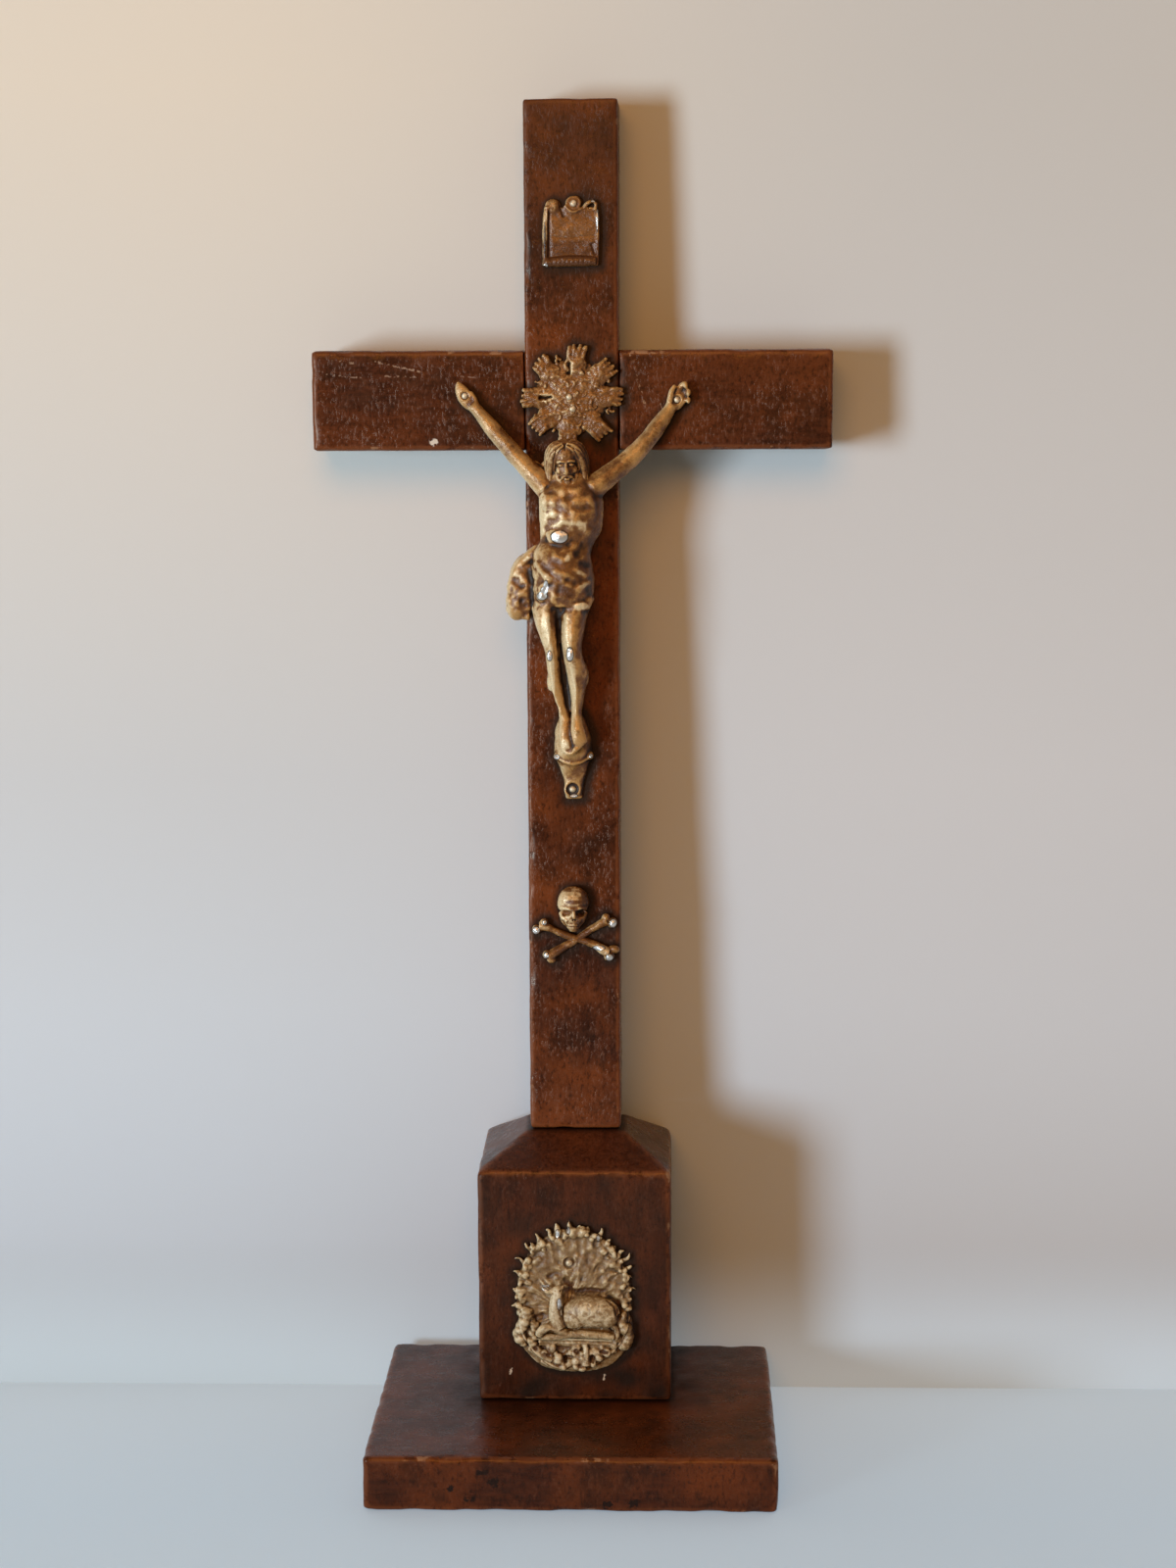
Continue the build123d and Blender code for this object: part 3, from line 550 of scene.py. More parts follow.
wornWood = {
    "voxel": 0.7,  # mm, as are the rest
    "wave": 0.16,
    "waveSize": 14.0,
    "ripple": 0.05,
    "rippleSize": 3.0,
    "nick": 0.5,
    "nickSize": 7.0,
    "edgeRise": 0.15,
    "grimeAndShadeReach": 3.2,
    "contactDepth": 1.2,  # of a casting's edge, where dirt gathers and painted contact shade lies on the wood
    "dirtAndShadeShift": (0.6, 0, -0.4),  # it lies thicker to the right and below, on the shadow side: dirt with painted shadow
    "ringDarkening": 0.9,
    "ringDarkeningReach": 15.0,
    "footDarkening": 0.8,
    "footReach": 16.0,
    "uprightStainAndShade": 0.65,
    "headDirt": 0.5,
    "headHeights": (335.0, 375.0),
}
screwSink = {"clearance": 0.65, "depth": 2.7, "skin": 0.6}


def arrises(bm, skip=None):  # the sharp edges, but for those inside a notch
    found = [edge for edge in bm.edges if edge.calc_face_angle(0) > 0.3]
    return [edge for edge in found if skip is None or not skip((edge.verts[0].co + edge.verts[1].co) / 2)]


def roundArrises(bm, edges, radius):
    bmesh.ops.bevel(
        bm, geom=edges, offset=radius, offset_type="OFFSET",
        segments=3, profile=0.5, affect="EDGES", material=-1
    )


def blockShape(low, high):
    bm = bmesh.new()
    size = Matrix.Diagonal((*(high - low), 1))
    bmesh.ops.create_cube(bm, size=1, matrix=Matrix.Translation((low + high) / 2) @ size)
    return bm


def notchedShape(corners, turn, length, start):  # an outline pushed out along the third axis
    bm = bmesh.new()
    outline = [bm.verts.new(turn @ Vector((x, y, start))) for x, y in corners]
    face = bm.faces.new(outline)
    pushed = bmesh.ops.extrude_face_region(bm, geom=[face])["geom"]
    bmesh.ops.translate(
        bm, vec=turn @ Vector((0, 0, length)),
        verts=[part for part in pushed if isinstance(part, bmesh.types.BMVert)]
    )
    bmesh.ops.recalc_face_normals(bm, faces=bm.faces)
    return bm


def wornMesh(bm, name, seed):
    settings = wornWood
    skin = fused(bm, name, settings["voxel"])
    soften(skin, 1, 0.4)
    mesh = newMesh(skin, name)
    places, normals = readSurface(mesh)
    edge = np.clip(riseOf(mesh, 4) / settings["edgeRise"], 0, 1)
    sink = settings["wave"] * (1 + noiseAt(places, settings["waveSize"], seed)) / 2
    sink += settings["ripple"] * (1 + noiseAt(places, settings["rippleSize"], seed + 1)) / 2
    sink += settings["nick"] * edge * np.clip(noiseAt(places, settings["nickSize"], seed + 2) + 0.1, 0, 1)
    writePlaces(mesh, places - normals * sink[:, None])
    writeMark(mesh, "edge", edge)
    return mesh


mmLow = {"post": postLow / mm, "bar": barLow / mm, "block": blockLow / mm, "base": baseLow / mm}
mmHigh = {"post": postHigh / mm, "bar": barHigh / mm, "block": blockHigh / mm, "base": baseHigh / mm}
postFront, postBack = mmLow["post"].y, mmHigh["post"].y
blockFront = mmLow["block"].y
lapPlane = (postFront + postBack) / 2
collar = {"rise": 9.0, "overhang": 0.6}  # the hipped top of the pedestal
blockTop = mmHigh["block"].z
arrisSizes = {"base": 1.4, "block": 1.0, "post": 0.9, "bar": 1.1}


def sinkScrews(mesh):  # countersunk holes underneath
    screwLow, screwHigh = (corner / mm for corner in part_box("base_screws"))
    radius = (screwHigh.y - screwLow.y) / 2
    places = readVectors(mesh, "place")
    for x in (screwLow.x + radius, screwHigh.x - radius):
        away = np.hypot(places[:, 0] - x, places[:, 1] - (screwLow.y + screwHigh.y) / 2)
        hole = np.clip(radius + screwSink["clearance"] - away, 0, screwSink["depth"])
        under = places[:, 2] < screwSink["skin"]
        places[:, 2] = np.where(under, np.maximum(places[:, 2], hole), places[:, 2])
    writePlaces(mesh, places)


def makeBase():
    bm = blockShape(mmLow["base"], mmHigh["base"])
    roundArrises(bm, arrises(bm), arrisSizes["base"])
    mesh = wornMesh(bm, "base", 2.0)
    sinkScrews(mesh)
    return mesh


def makePedestal():
    low, high = mmLow["block"], mmHigh["block"]
    eaves = Vector((high.x, high.y, high.z - collar["rise"]))
    bm = blockShape(low, eaves)
    top = [face for face in bm.faces if face.normal.z > 0.9]
    raised = bmesh.ops.extrude_face_region(bm, geom=top)["geom"]
    ridge = [part for part in raised if isinstance(part, bmesh.types.BMVert)]
    bmesh.ops.delete(bm, geom=top, context="FACES_ONLY")
    bmesh.ops.translate(bm, vec=(0, 0, collar["rise"]), verts=ridge)
    middle = (low + high) / 2
    topHalf = Vector((mmHigh["post"].x + collar["overhang"], (postBack - postFront) / 2 + collar["overhang"]))
    for vert in ridge:
        vert.co.x = math.copysign(topHalf.x, vert.co.x - middle.x)
        vert.co.y = (postFront + postBack) / 2 + math.copysign(topHalf.y, vert.co.y - middle.y)
    bmesh.ops.recalc_face_normals(bm, faces=bm.faces)
    roundArrises(bm, arrises(bm), arrisSizes["block"])
    return wornMesh(bm, "pedestal", 5.0)


def makePost():
    low, high = mmLow["post"], mmHigh["post"]
    lapLow, lapHigh = mmLow["bar"].z, mmHigh["bar"].z
    corners = [
        (postFront, blockTop), (postFront, high.z), (postBack, high.z), (postBack, lapHigh),
        (lapPlane, lapHigh), (lapPlane, lapLow), (postBack, lapLow), (postBack, blockTop),
    ]
    turn = Matrix(((0, 0, 1), (1, 0, 0), (0, 1, 0)))
    bm = notchedShape(corners, turn, high.x - low.x, low.x)
    inNotch = lambda point: point.y > lapPlane - 0.1 and lapLow - 0.1 < point.z < lapHigh + 0.1
    roundArrises(bm, arrises(bm, inNotch), arrisSizes["post"])
    return wornMesh(bm, "post", 8.0)


def makeBar():
    low, high = mmLow["bar"], mmHigh["bar"]
    side = mmHigh["post"].x
    corners = [
        (low.x, postFront), (-side, postFront), (-side, lapPlane), (side, lapPlane),
        (side, postFront), (high.x, postFront), (high.x, postBack), (low.x, postBack),
    ]
    bm = notchedShape(corners, Matrix.Identity(3), high.z - low.z, low.z)
    inNotch = lambda point: point.y < lapPlane + 0.1 and abs(point.x) < side + 0.1
    roundArrises(bm, arrises(bm, inNotch), arrisSizes["bar"])
    return wornMesh(bm, "bar", 11.0)


woodMeshes = {
    "base_plate": makeBase(),
    "pedestal_block": makePedestal(),
    "upright_post": makePost(),
    "crossbar": makeBar(),
}
print("wood shaped")


# Castings: lofted limbs and round masses, fused to one skin and worked over

def smoothRows(rows, steps):  # rows of numbers, with a smooth run between them
    rows = [np.array(row, float) for row in rows]
    rows = [2 * rows[0] - rows[1]] + rows + [2 * rows[-1] - rows[-2]]
    made = []
    for before, start, end, after in zip(rows, rows[1:], rows[2:], rows[3:]):
        for step in range(steps):
            t = step / steps
            made.append(0.5 * (
                2 * start + (end - before) * t + (2 * before - 5 * start + 4 * end - after) * t ** 2
                + (3 * start - before - 3 * end + after) * t ** 3
            ))
    return made + [rows[-2]]


def addShape(bm, shape):
    mesh = newMesh(shape, "shape")
    bm.from_mesh(mesh)
    bpy.data.meshes.remove(mesh)


def addLimb(bm, rows, steps=3, sides=14, level=False):
    # each row: across, forward, up, half width and half depth
    rows = [row if len(row) == 5 else (*row, row[3]) for row in rows]
    rows = smoothRows(rows, steps)
    points = [Vector((row[0], -row[1], row[2])) for row in rows]
    limb, rings = bmesh.new(), []
    for index, row in enumerate(rows):
        along = points[min(index + 1, len(points) - 1)] - points[max(index - 1, 0)]
        if level:
            along = Vector((0, 0, 1))
        along.normalize()
        across = Vector((0, 1, 0)).cross(along)
        if across.length < 0.05:
            across = Vector((1, 0, 0))
        across.normalize()
        turn = Matrix((across, along.cross(across), along)).transposed().to_4x4()
        size = Matrix.Diagonal((max(row[3], 0.02), max(row[4], 0.02), 1, 1))
        ring = bmesh.ops.create_circle(
            limb, cap_ends=index in (0, len(rows) - 1), segments=sides, radius=1,
            matrix=Matrix.Translation(points[index]) @ turn @ size,
        )["verts"]
        members = set(ring)
        rings.append({edge for vert in ring for edge in vert.link_edges if edge.other_vert(vert) in members})
    for lower, upper in zip(rings, rings[1:]):
        bmesh.ops.bridge_loops(limb, edges=list(lower | upper))
    bmesh.ops.recalc_face_normals(limb, faces=limb.faces)
    addShape(bm, limb)


def eggMatrix(place, radii, turn):  # turned about the line of sight
    x, forward, up = place
    tilt = Matrix.Rotation(math.radians(turn), 4, "Y")
    return Matrix.Translation((x, -forward, up)) @ tilt @ Matrix.Diagonal((*radii, 1))


def addMass(bm, place, radii, turn=0.0):
    egg = bmesh.new()
    bmesh.ops.create_uvsphere(
        egg, u_segments=20, v_segments=12, radius=1, matrix=eggMatrix(place, radii, turn)
    )
    addShape(bm, egg)


def addSlab(bm, place, halfSizes, turn=0.0):
    slab = bmesh.new()
    bmesh.ops.create_cube(slab, size=2, matrix=eggMatrix(place, halfSizes, turn))
    addShape(bm, slab)


def castSkin(bm, name, voxel, passes=3, sunk=0.3):  # flat behind, a little into the wood
    skin = fused(bm, name, voxel)
    soften(skin, passes)
    everything = skin.verts[:] + skin.edges[:] + skin.faces[:]
    cut = bmesh.ops.bisect_plane(
        skin, geom=everything, plane_co=(0, sunk, 0), plane_no=(0, 1, 0), clear_outer=True
    )
    rim = [part for part in cut["geom_cut"] if isinstance(part, bmesh.types.BMEdge)]
    bmesh.ops.edgeloop_fill(skin, edges=rim)
    bmesh.ops.recalc_face_normals(skin, faces=skin.faces)
    return newMesh(skin, name)


def lineGap(flat, line):  # distance to a line of points, seen from the front
    gap = np.full(len(flat), 1e9)
    for start, end in zip(line, line[1:]):
        start, span = np.array(start, float), np.array(end, float) - np.array(start, float)
        share = np.clip((flat - start) @ span / max(span @ span, 1e-9), 0, 1)
        gap = np.minimum(gap, np.hypot(*(flat - start - share[:, None] * span).T))
    return gap


def stroke(places, normals, line, width, depth):  # raises or cuts a line into the front
    flat = places[:, [0, 2]]
    corners = np.array(line, float)
    near = ((flat > corners.min(axis=0) - width) & (flat < corners.max(axis=0) + width)).all(axis=1)
    near = np.flatnonzero(near & (normals[:, 1] < 0))
    if len(line) == 1:
        gap = np.hypot(*(flat[near] - corners[0]).T)
    else:
        gap = lineGap(flat[near], line)
    fall = (1 - easeStep(gap, 0, width)) * easeStep(-normals[near, 1], 0.0, 0.4)
    places[near] += normals[near] * (depth * fall)[:, None]


def seatPin(places, x, up, seat, radius, groove=0.22):  # a flat seat and a groove for a pin
    away = np.hypot(places[:, 0] - x, places[:, 2] - up)
    front = places[:, 1] < -0.2
    share = (1 - easeStep(away, radius, radius * 1.5)) * front
    level = -seat + groove * easeStep(away, radius * 0.5, radius * 0.7)
    places[:, 1] += (level - places[:, 1]) * share


def roughen(mesh, size, depth, seed):
    places, normals = readSurface(mesh)
    move = depth * noiseAt(places, size, seed) * (places[:, 1] < 0.2)
    writePlaces(mesh, places + normals * move[:, None])


def spotShare(places, normals, spots):  # soft oval spots on the front
    value = np.zeros(len(places))
    front = easeStep(-normals[:, 1], 0.1, 0.5)
    for x, up, halfWidth, halfHeight, strength in spots:
        away = np.hypot((places[:, 0] - x) / halfWidth, (places[:, 2] - up) / halfHeight)
        value = np.maximum(value, strength * (1 - easeStep(away, 0.45, 1.1)) * front)
    return value


def carve(mesh, strokes):
    places, normals = readSurface(mesh)
    for line, width, depth in strokes:
        stroke(places, normals, line, width, depth)
    writePlaces(mesh, places)


def markCasting(mesh, settings):
    fine, broad, dirtAndShadeDepth = settings["relief"]
    places, normals = readSurface(mesh)
    rise = 0.4 * riseOf(mesh, 6) / fine + 0.7 * riseOf(mesh, 40) / broad
    # painted shade, with some dirt: darker where the casting meets the wood
    contact = 1 - easeStep(-places[:, 1], 0.2, dirtAndShadeDepth)
    rubbed = easeStep(-normals[:, 0], 0.15, 0.9)  # painted highlight: the left-facing sides made paler, as if lit from the left
    rightShade = easeStep(normals[:, 0], 0.1, 0.85)  # painted shade: the right-facing sides made darker, as if turned from the light
    # ridge: wear on raised parts plus the painted highlight; hollow: patina in recesses plus the painted
    # shade
    writeMark(mesh, "ridge", rise + 0.25 * rubbed)
    writeMark(mesh, "hollow", 0.8 * contact + 0.65 * rightShade - 0.9 * rise)
    # the pale mark keeps the painted highlight of the left-facing sides as its least value
    for mark, least in (("bare", 0), ("brown_and_shade", 0), ("pale", 0.45 * rubbed)):
        writeMark(mesh, mark, np.maximum(spotShare(places, normals, settings[mark]), least))


def finishCasting(mesh, settings):
    for size, depth, seed in settings["lumps"]:
        roughen(mesh, size, depth, seed)
    places = readVectors(mesh, "place")
    for pin in settings["pins"]:
        seatPin(places, *pin)
    writePlaces(mesh, places)
    markCasting(mesh, settings)


def setOnWood(mesh, face, datum):  # from the casting's own millimetres into the frame
    mesh.transform(Matrix.Scale(mm, 4) @ Matrix.Translation((datum.x, face, datum.z)))


# Cast figure, from the end of the tab at its foot, in mm

figure = {
    "voxel": 0.361,
    "headVoxel": 0.180,
    "torso": [  # rows of across, forward, up, half width and half depth
        (-1.2, 7.2, 98.5, 3.2, 2.9), (-0.7, 6.4, 94.0, 7.8, 4.3), (-0.2, 6.7, 89.5, 9.4, 5.6),
        (-0.1, 6.7, 84.5, 9.3, 5.8), (-0.3, 6.1, 80.5, 9.0, 5.3), (-1.6, 5.7, 76.0, 7.8, 5.0),
        (-3.0, 5.8, 71.5, 8.3, 5.6), (-2.9, 5.6, 66.0, 8.9, 5.9), (-3.0, 5.4, 60.0, 8.6, 5.6),
        (-3.0, 5.0, 55.0, 7.4, 4.6),
    ],
    "masses": [  # place, half sizes and turn
        ((-5.0, 10.3, 88.8), (3.7, 1.8, 3.0), -12), ((3.2, 10.3, 88.6), (3.7, 1.8, 3.0), 12),  # chest
        ((-3.2, 9.6, 79.0), (4.0, 2.4, 3.0), 0),  # belly
        ((-10.2, 6.4, 95.8), (2.8, 2.8, 3.5), -40), ((9.0, 6.4, 95.4), (2.8, 2.8, 3.5), 40),  # shoulders
        ((-6.4, 10.4, 44.4), (1.2, 1.0, 1.9), 8), ((-0.3, 12.3, 44.8), (1.5, 1.1, 2.2), 10),  # knees
        ((-6.0, 5.2, 37.6), (1.5, 2.6, 4.4), 8), ((2.9, 6.4, 38.6), (1.9, 2.9, 4.2), -8),  # calves
        ((-4.9, 2.6, 13.4), (1.1, 1.4, 1.2), 0), ((5.0, 2.6, 13.7), (1.1, 1.4, 1.2), 0),  # bracket corners
        ((-0.3, 0.9, 3.4), (2.6, 1.3, 2.7), 0),  # boss of the tab
        ((-8.9, 10.6, 61.8), (1.8, 1.6, 1.7), 20),  # knot
        ((-9.0, 3.6, 96.6), (2.7, 2.2, 2.6), 0),  # between shoulder and hair
        # gathered cloth at the hip
        ((-13.6, 3.0, 64.4), (5.6, 3.9, 9.6), 4), ((-15.4, 3.0, 60.6), (4.2, 3.6, 6.8), 14),
        ((1.6, 10.4, 58.4), (3.2, 1.7, 1.7), -16), ((4.0, 8.4, 60.4), (2.3, 2.2, 2.4), 0),
    ],
    "leftLeg": [
        (-7.4, 5.8, 60.0, 4.2, 4.9), (-7.6, 6.9, 55.0, 3.8, 4.6), (-6.6, 7.5, 49.4, 2.9, 3.9),
        (-5.8, 7.6, 44.6, 2.15, 3.2), (-5.5, 6.4, 39.5, 1.95, 3.0), (-4.6, 5.3, 34.0, 1.7, 2.6),
        (-3.2, 4.7, 28.8, 1.45, 2.1), (-2.3, 5.0, 24.5, 1.6, 1.9),
    ],
    "rightLeg": [
        (0.8, 6.4, 60.0, 4.2, 5.2), (0.4, 7.6, 55.0, 3.9, 4.9), (0.0, 9.0, 49.4, 3.2, 4.3),
        (0.1, 9.3, 44.8, 2.8, 3.6), (1.3, 7.9, 39.5, 3.1, 3.6), (1.5, 6.7, 34.0, 2.4, 3.1),
        (1.2, 6.0, 28.0, 1.6, 2.2), (1.2, 6.3, 24.5, 1.6, 2.0),
    ],
    "legWeb": [
        (-3.4, 2.6, 58.0, 2.6, 2.6), (-3.2, 3.2, 48.0, 2.4, 3.0),
        (-2.4, 2.8, 38.0, 2.8, 2.6), (-1.0, 2.6, 27.0, 2.2, 2.4),
    ],
    "leftFoot": [
        (-2.3, 5.2, 25.0, 1.6, 1.8), (-2.1, 6.2, 21.0, 2.0, 1.7),
        (-1.8, 6.9, 18.2, 2.1, 1.4), (-1.6, 7.0, 16.2, 2.0, 1.0),
    ],
    "rightFoot": [
        (1.2, 6.5, 25.0, 1.6, 1.9), (1.5, 7.7, 21.6, 2.1, 1.8),
        (2.0, 8.0, 19.4, 2.2, 1.4), (2.4, 7.8, 17.8, 2.1, 1.0),
    ],
    "toes": [
        (-3.3, 6.8, 16.3, 0.55), (-2.6, 7.2, 15.6, 0.6), (-1.8, 7.4, 15.2, 0.62),
        (-1.0, 7.5, 15.0, 0.66), (-0.1, 7.6, 15.2, 0.74), (0.9, 8.2, 16.3, 0.74),
        (1.7, 8.2, 16.7, 0.6), (2.4, 8.0, 17.3, 0.58), (3.1, 7.7, 17.9, 0.55), (3.7, 7.3, 18.5, 0.5),
    ],
    "bracket": [
        (-0.3, 0, 27.0, 2.6, 2.0), (-0.4, 0, 23.0, 4.6, 4.0), (-0.2, 0, 19.0, 5.5, 5.4),
        (-0.1, 0, 15.0, 5.7, 6.2), (-0.1, 0, 12.6, 5.2, 5.4), (0.1, 0, 9.0, 3.9, 3.0),
        (0.2, 0, 5.0, 3.0, 1.9), (0.1, 0, 0.4, 2.5, 1.2),
    ],
    "leftArm": [
        (-7.4, 6.3, 93.2, 3.6), (-10.4, 6.0, 96.2, 3.16), (-13.2, 5.4, 99.0, 2.83),
        (-16.2, 4.7, 102.2, 2.71), (-18.9, 4.1, 105.2, 2.6), (-21.3, 3.6, 107.9, 2.43),
        (-23.5, 3.1, 110.5, 2.37), (-25.6, 2.6, 113.0, 2.1), (-27.4, 2.1, 115.2, 1.79),
        (-29.0, 1.8, 117.0, 1.73),
    ],
    "rightArm": [
        (6.0, 6.3, 92.8, 3.88), (9.2, 6.0, 95.2, 3.39), (12.6, 5.4, 97.8, 3.07), (16.2, 4.7, 100.6, 2.93),
        (19.4, 4.1, 103.7, 2.74), (22.1, 3.6, 106.7, 2.55), (24.4, 3.1, 109.6, 2.53),
        (26.6, 2.6, 112.6, 2.25), (28.3, 2.1, 115.1, 1.86), (29.4, 1.8, 116.8, 1.85),
    ],
    "leftHand": [  # fingers held together
        [
            (-29.3, 1.7, 117.0, 1.0), (-31.0, 2.0, 119.6, 1.0),
            (-32.3, 2.1, 121.8, 0.8), (-33.3, 1.8, 123.8, 0.5),
        ],
        [
            (-30.2, 1.7, 116.8, 1.0), (-31.8, 2.0, 119.0, 0.95),
            (-32.9, 2.0, 121.4, 0.75), (-33.5, 1.7, 123.6, 0.45),
        ],
        [
            (-29.0, 1.7, 118.0, 1.0), (-30.2, 1.9, 120.2, 0.95),
            (-31.6, 1.9, 122.0, 0.75), (-32.9, 1.7, 123.5, 0.45),
        ],
        [
            (-31.4, 1.6, 117.2, 0.8), (-32.7, 1.8, 119.0, 0.8),
            (-33.4, 1.8, 121.0, 0.65), (-33.7, 1.6, 122.8, 0.4),
        ],
        [(-28.0, 1.8, 116.8, 0.85), (-28.4, 2.2, 119.0, 0.8), (-29.5, 2.2, 120.9, 0.6)],
    ],
    "rightHand": [  # thumb laid up, fingers bent over
        [
            (28.6, 2.0, 115.6, 1.0), (28.7, 2.6, 118.4, 0.95),
            (29.3, 2.8, 121.0, 0.85), (30.4, 2.9, 122.6, 0.6),
        ],
        [(30.6, 1.7, 119.8, 0.9), (32.0, 2.0, 122.2, 0.9), (33.2, 2.8, 123.0, 0.8), (33.4, 3.6, 121.6, 0.55)],
        [
            (31.8, 1.7, 118.6, 0.9), (33.4, 2.0, 120.6, 0.9),
            (34.3, 2.8, 120.6, 0.75), (34.0, 3.5, 119.4, 0.55),
        ],
        [(31.8, 1.7, 117.2, 0.9), (33.4, 1.9, 118.4, 0.85), (34.3, 2.6, 118.2, 0.7), (33.9, 3.2, 117.2, 0.5)],
    ],
    "palms": [((-30.3, 1.5, 118.2), (2.1, 1.5, 3.1), -33), ((30.7, 1.5, 118.0), (2.5, 1.5, 3.2), 33)],
    "cloth": [
        (-1.4, 5.9, 77.4, 7.9, 5.1), (-2.8, 6.3, 74.0, 8.4, 6.0), (-2.7, 6.5, 69.8, 8.9, 6.7),
        (-2.6, 6.4, 65.6, 9.1, 7.0), (-2.5, 6.2, 61.5, 8.9, 6.9), (-2.6, 5.8, 58.6, 8.2, 6.0),
    ],
    "sashes": [
        [(-8.9, 11.2, 63.4, 0.9), (-7.6, 12.3, 65.2, 0.8), (-6.2, 12.7, 66.8, 0.45)],
        [(-0.6, 11.4, 60.0, 0.7), (2.0, 11.2, 58.6, 0.9), (4.6, 9.0, 58.6, 0.9), (6.0, 6.6, 61.0, 0.8)],
    ],
    "drape": [
        (-9.6, 5.4, 75.4, 1.5), (-13.0, 4.8, 72.6, 1.7), (-15.8, 4.3, 69.4, 1.7), (-17.4, 4.0, 65.6, 1.6),
        (-17.9, 3.8, 61.2, 1.5), (-17.0, 3.7, 57.8, 1.5), (-14.8, 3.6, 55.8, 1.4), (-12.4, 4.0, 55.2, 1.4),
    ],
    "web": [(-10.9, 4.8, 100.4, 0.9), (-9.0, 4.2, 98.9, 0.9), (-7.2, 4.8, 100.4, 0.9)],
    "head": (-1.4, 8.3, 100.8),
    "nod": 14.0,
    "lean": 4.0,
    "pale": [  # spots: across, up, half width, half height and strength; cream wear, with painted highlight in the spots down the left side of the torso and the left leg
        (-8.3, 86.0, 1.5, 8.0, 1.0), (-5.4, 85.0, 3.4, 6.0, 0.6), (-2.6, 82.2, 4.6, 2.0, 0.8),
        (-0.6, 87.0, 3.0, 3.4, 0.3), (3.0, 81.9, 2.4, 2.4, 0.6), (-1.4, 91.6, 3.4, 1.4, 0.5),
        (-7.6, 52.0, 1.6, 7.0, 0.9), (-6.2, 38.0, 1.2, 12.0, 0.9), (-1.2, 50.0, 1.5, 8.0, 0.8),
        (0.2, 36.0, 1.2, 10.0, 0.7), (-2.0, 17.0, 2.4, 3.0, 0.5), (-1.2, 72.8, 1.0, 1.6, 0.7),
        (2.2, 58.8, 3.4, 1.4, 0.9), (-12.2, 72.0, 2.6, 1.2, 0.5), (-6.4, 67.6, 2.6, 1.4, 0.5),
        (3.0, 68.6, 2.2, 1.2, 0.45), (3.6, 64.8, 2.0, 1.2, 0.45), (-15.8, 67.0, 2.0, 3.0, 0.4),
        (-4.6, 101.0, 2.4, 5.0, 0.4),
    ],
    "bare": [
        (-3.4, 79.0, 2.9, 2.2, 1.0), (-8.6, 61.8, 1.8, 1.4, 1.0), (-8.0, 63.2, 1.2, 1.6, 1.0),
        (-7.4, 64.8, 0.8, 1.9, 1.0), (-6.5, 44.2, 0.9, 1.7, 1.0), (-0.5, 44.8, 1.2, 2.4, 1.0),
        (-5.0, 13.3, 1.0, 1.0, 0.9), (5.2, 13.7, 0.7, 0.8, 0.8), (0.0, 1.4, 1.6, 0.6, 0.7),
    ],
    # brown patina; the spots down the right side of the torso are painted shade
    "brown_and_shade": [
        (-3.0, 71.0, 9.0, 5.0, 0.5), (-2.0, 62.6, 3.8, 3.4, 0.8), (3.6, 67.0, 4.6, 7.0, 0.45),
        (-14.0, 62.0, 5.5, 9.0, 0.3), (6.4, 88.0, 2.6, 9.0, 0.7), (6.6, 79.0, 3.0, 5.0, 0.7),
        (-2.2, 87.8, 2.2, 2.6, 0.35), (-5.4, 54.6, 1.6, 3.0, 0.55), (-20.0, 105.6, 6.0, 9.0, 0.85),
        (-28.0, 115.4, 4.0, 5.0, 0.6), (13.0, 97.6, 6.0, 5.0, 0.85), (24.0, 109.0, 6.0, 9.0, 0.85),
        (-11.0, 97.0, 3.4, 3.4, 0.4), (2.6, 37.0, 1.6, 6.0, 0.5),
    ],
    "pins": [(-31.2, 119.7, 2.3, 0.9, 0.0), (30.8, 118.3, 2.3, 0.9, 0.0), (-0.3, 3.4, 1.1, 1.5)],
    "ridges": [  # raised lines of the worn chest, shins and ledge
        ([(-7.9, 92.0), (-8.5, 88.0), (-8.3, 83.7), (-8.0, 80.4)], 2.0, 0.4),
        ([(5.6, 90.6), (6.2, 85.0)], 1.8, 0.3), ([(-2.4, 83.2), (-4.2, 82.0), (-6.2, 80.2)], 2.2, 0.3),
        ([(1.6, 83.2), (3.2, 82.0), (4.8, 80.4)], 2.2, 0.25), ([(-7.4, 85.8), (-5.6, 85.1)], 1.3, 0.15),
        ([(3.8, 85.4), (6.0, 86.2)], 1.3, 0.15), ([(-5.6, 93.2), (-3.4, 92.4)], 1.7, 0.2),
        ([(3.6, 93.0), (1.8, 92.4)], 1.7, 0.18), ([(-7.2, 56.0), (-6.6, 49.0), (-6.2, 46.4)], 1.0, 0.25),
        ([(-1.6, 56.0), (-1.4, 50.0), (-0.8, 47.2)], 1.0, 0.25),
        ([(-6.3, 42.0), (-5.6, 34.0), (-3.4, 27.0)], 0.8, 0.4),
        ([(-0.4, 42.0), (1.2, 34.0), (1.2, 27.0)], 0.8, 0.35),
        ([(-5.0, 13.2), (-2.4, 11.9), (0.2, 11.5), (2.4, 12.0), (5.0, 13.4)], 0.7, 0.45),
        ([(1.4, 21.4)], 0.7, 0.7), ([(-9.6, 70.6), (-7.4, 68.0), (-6.6, 66.6)], 1.6, 0.5),
        ([(-4.6, 73.4), (-2.0, 72.4), (0.0, 73.6)], 1.6, 0.35), ([(1.6, 69.4), (4.0, 67.6)], 1.7, 0.4),
        ([(2.4, 64.0), (4.6, 65.6)], 1.5, 0.4), ([(-4.4, 69.0), (-1.6, 68.0)], 1.5, 0.3),
    ],
    "cuts": [  # hollows of the chest, folds, and the gap between the legs
        ([(-0.7, 90.4), (-0.7, 86.0)], 1.7, -0.25),
        ([(-6.4, 87.6), (-4.2, 87.0), (-2.4, 87.4)], 1.5, -0.22),
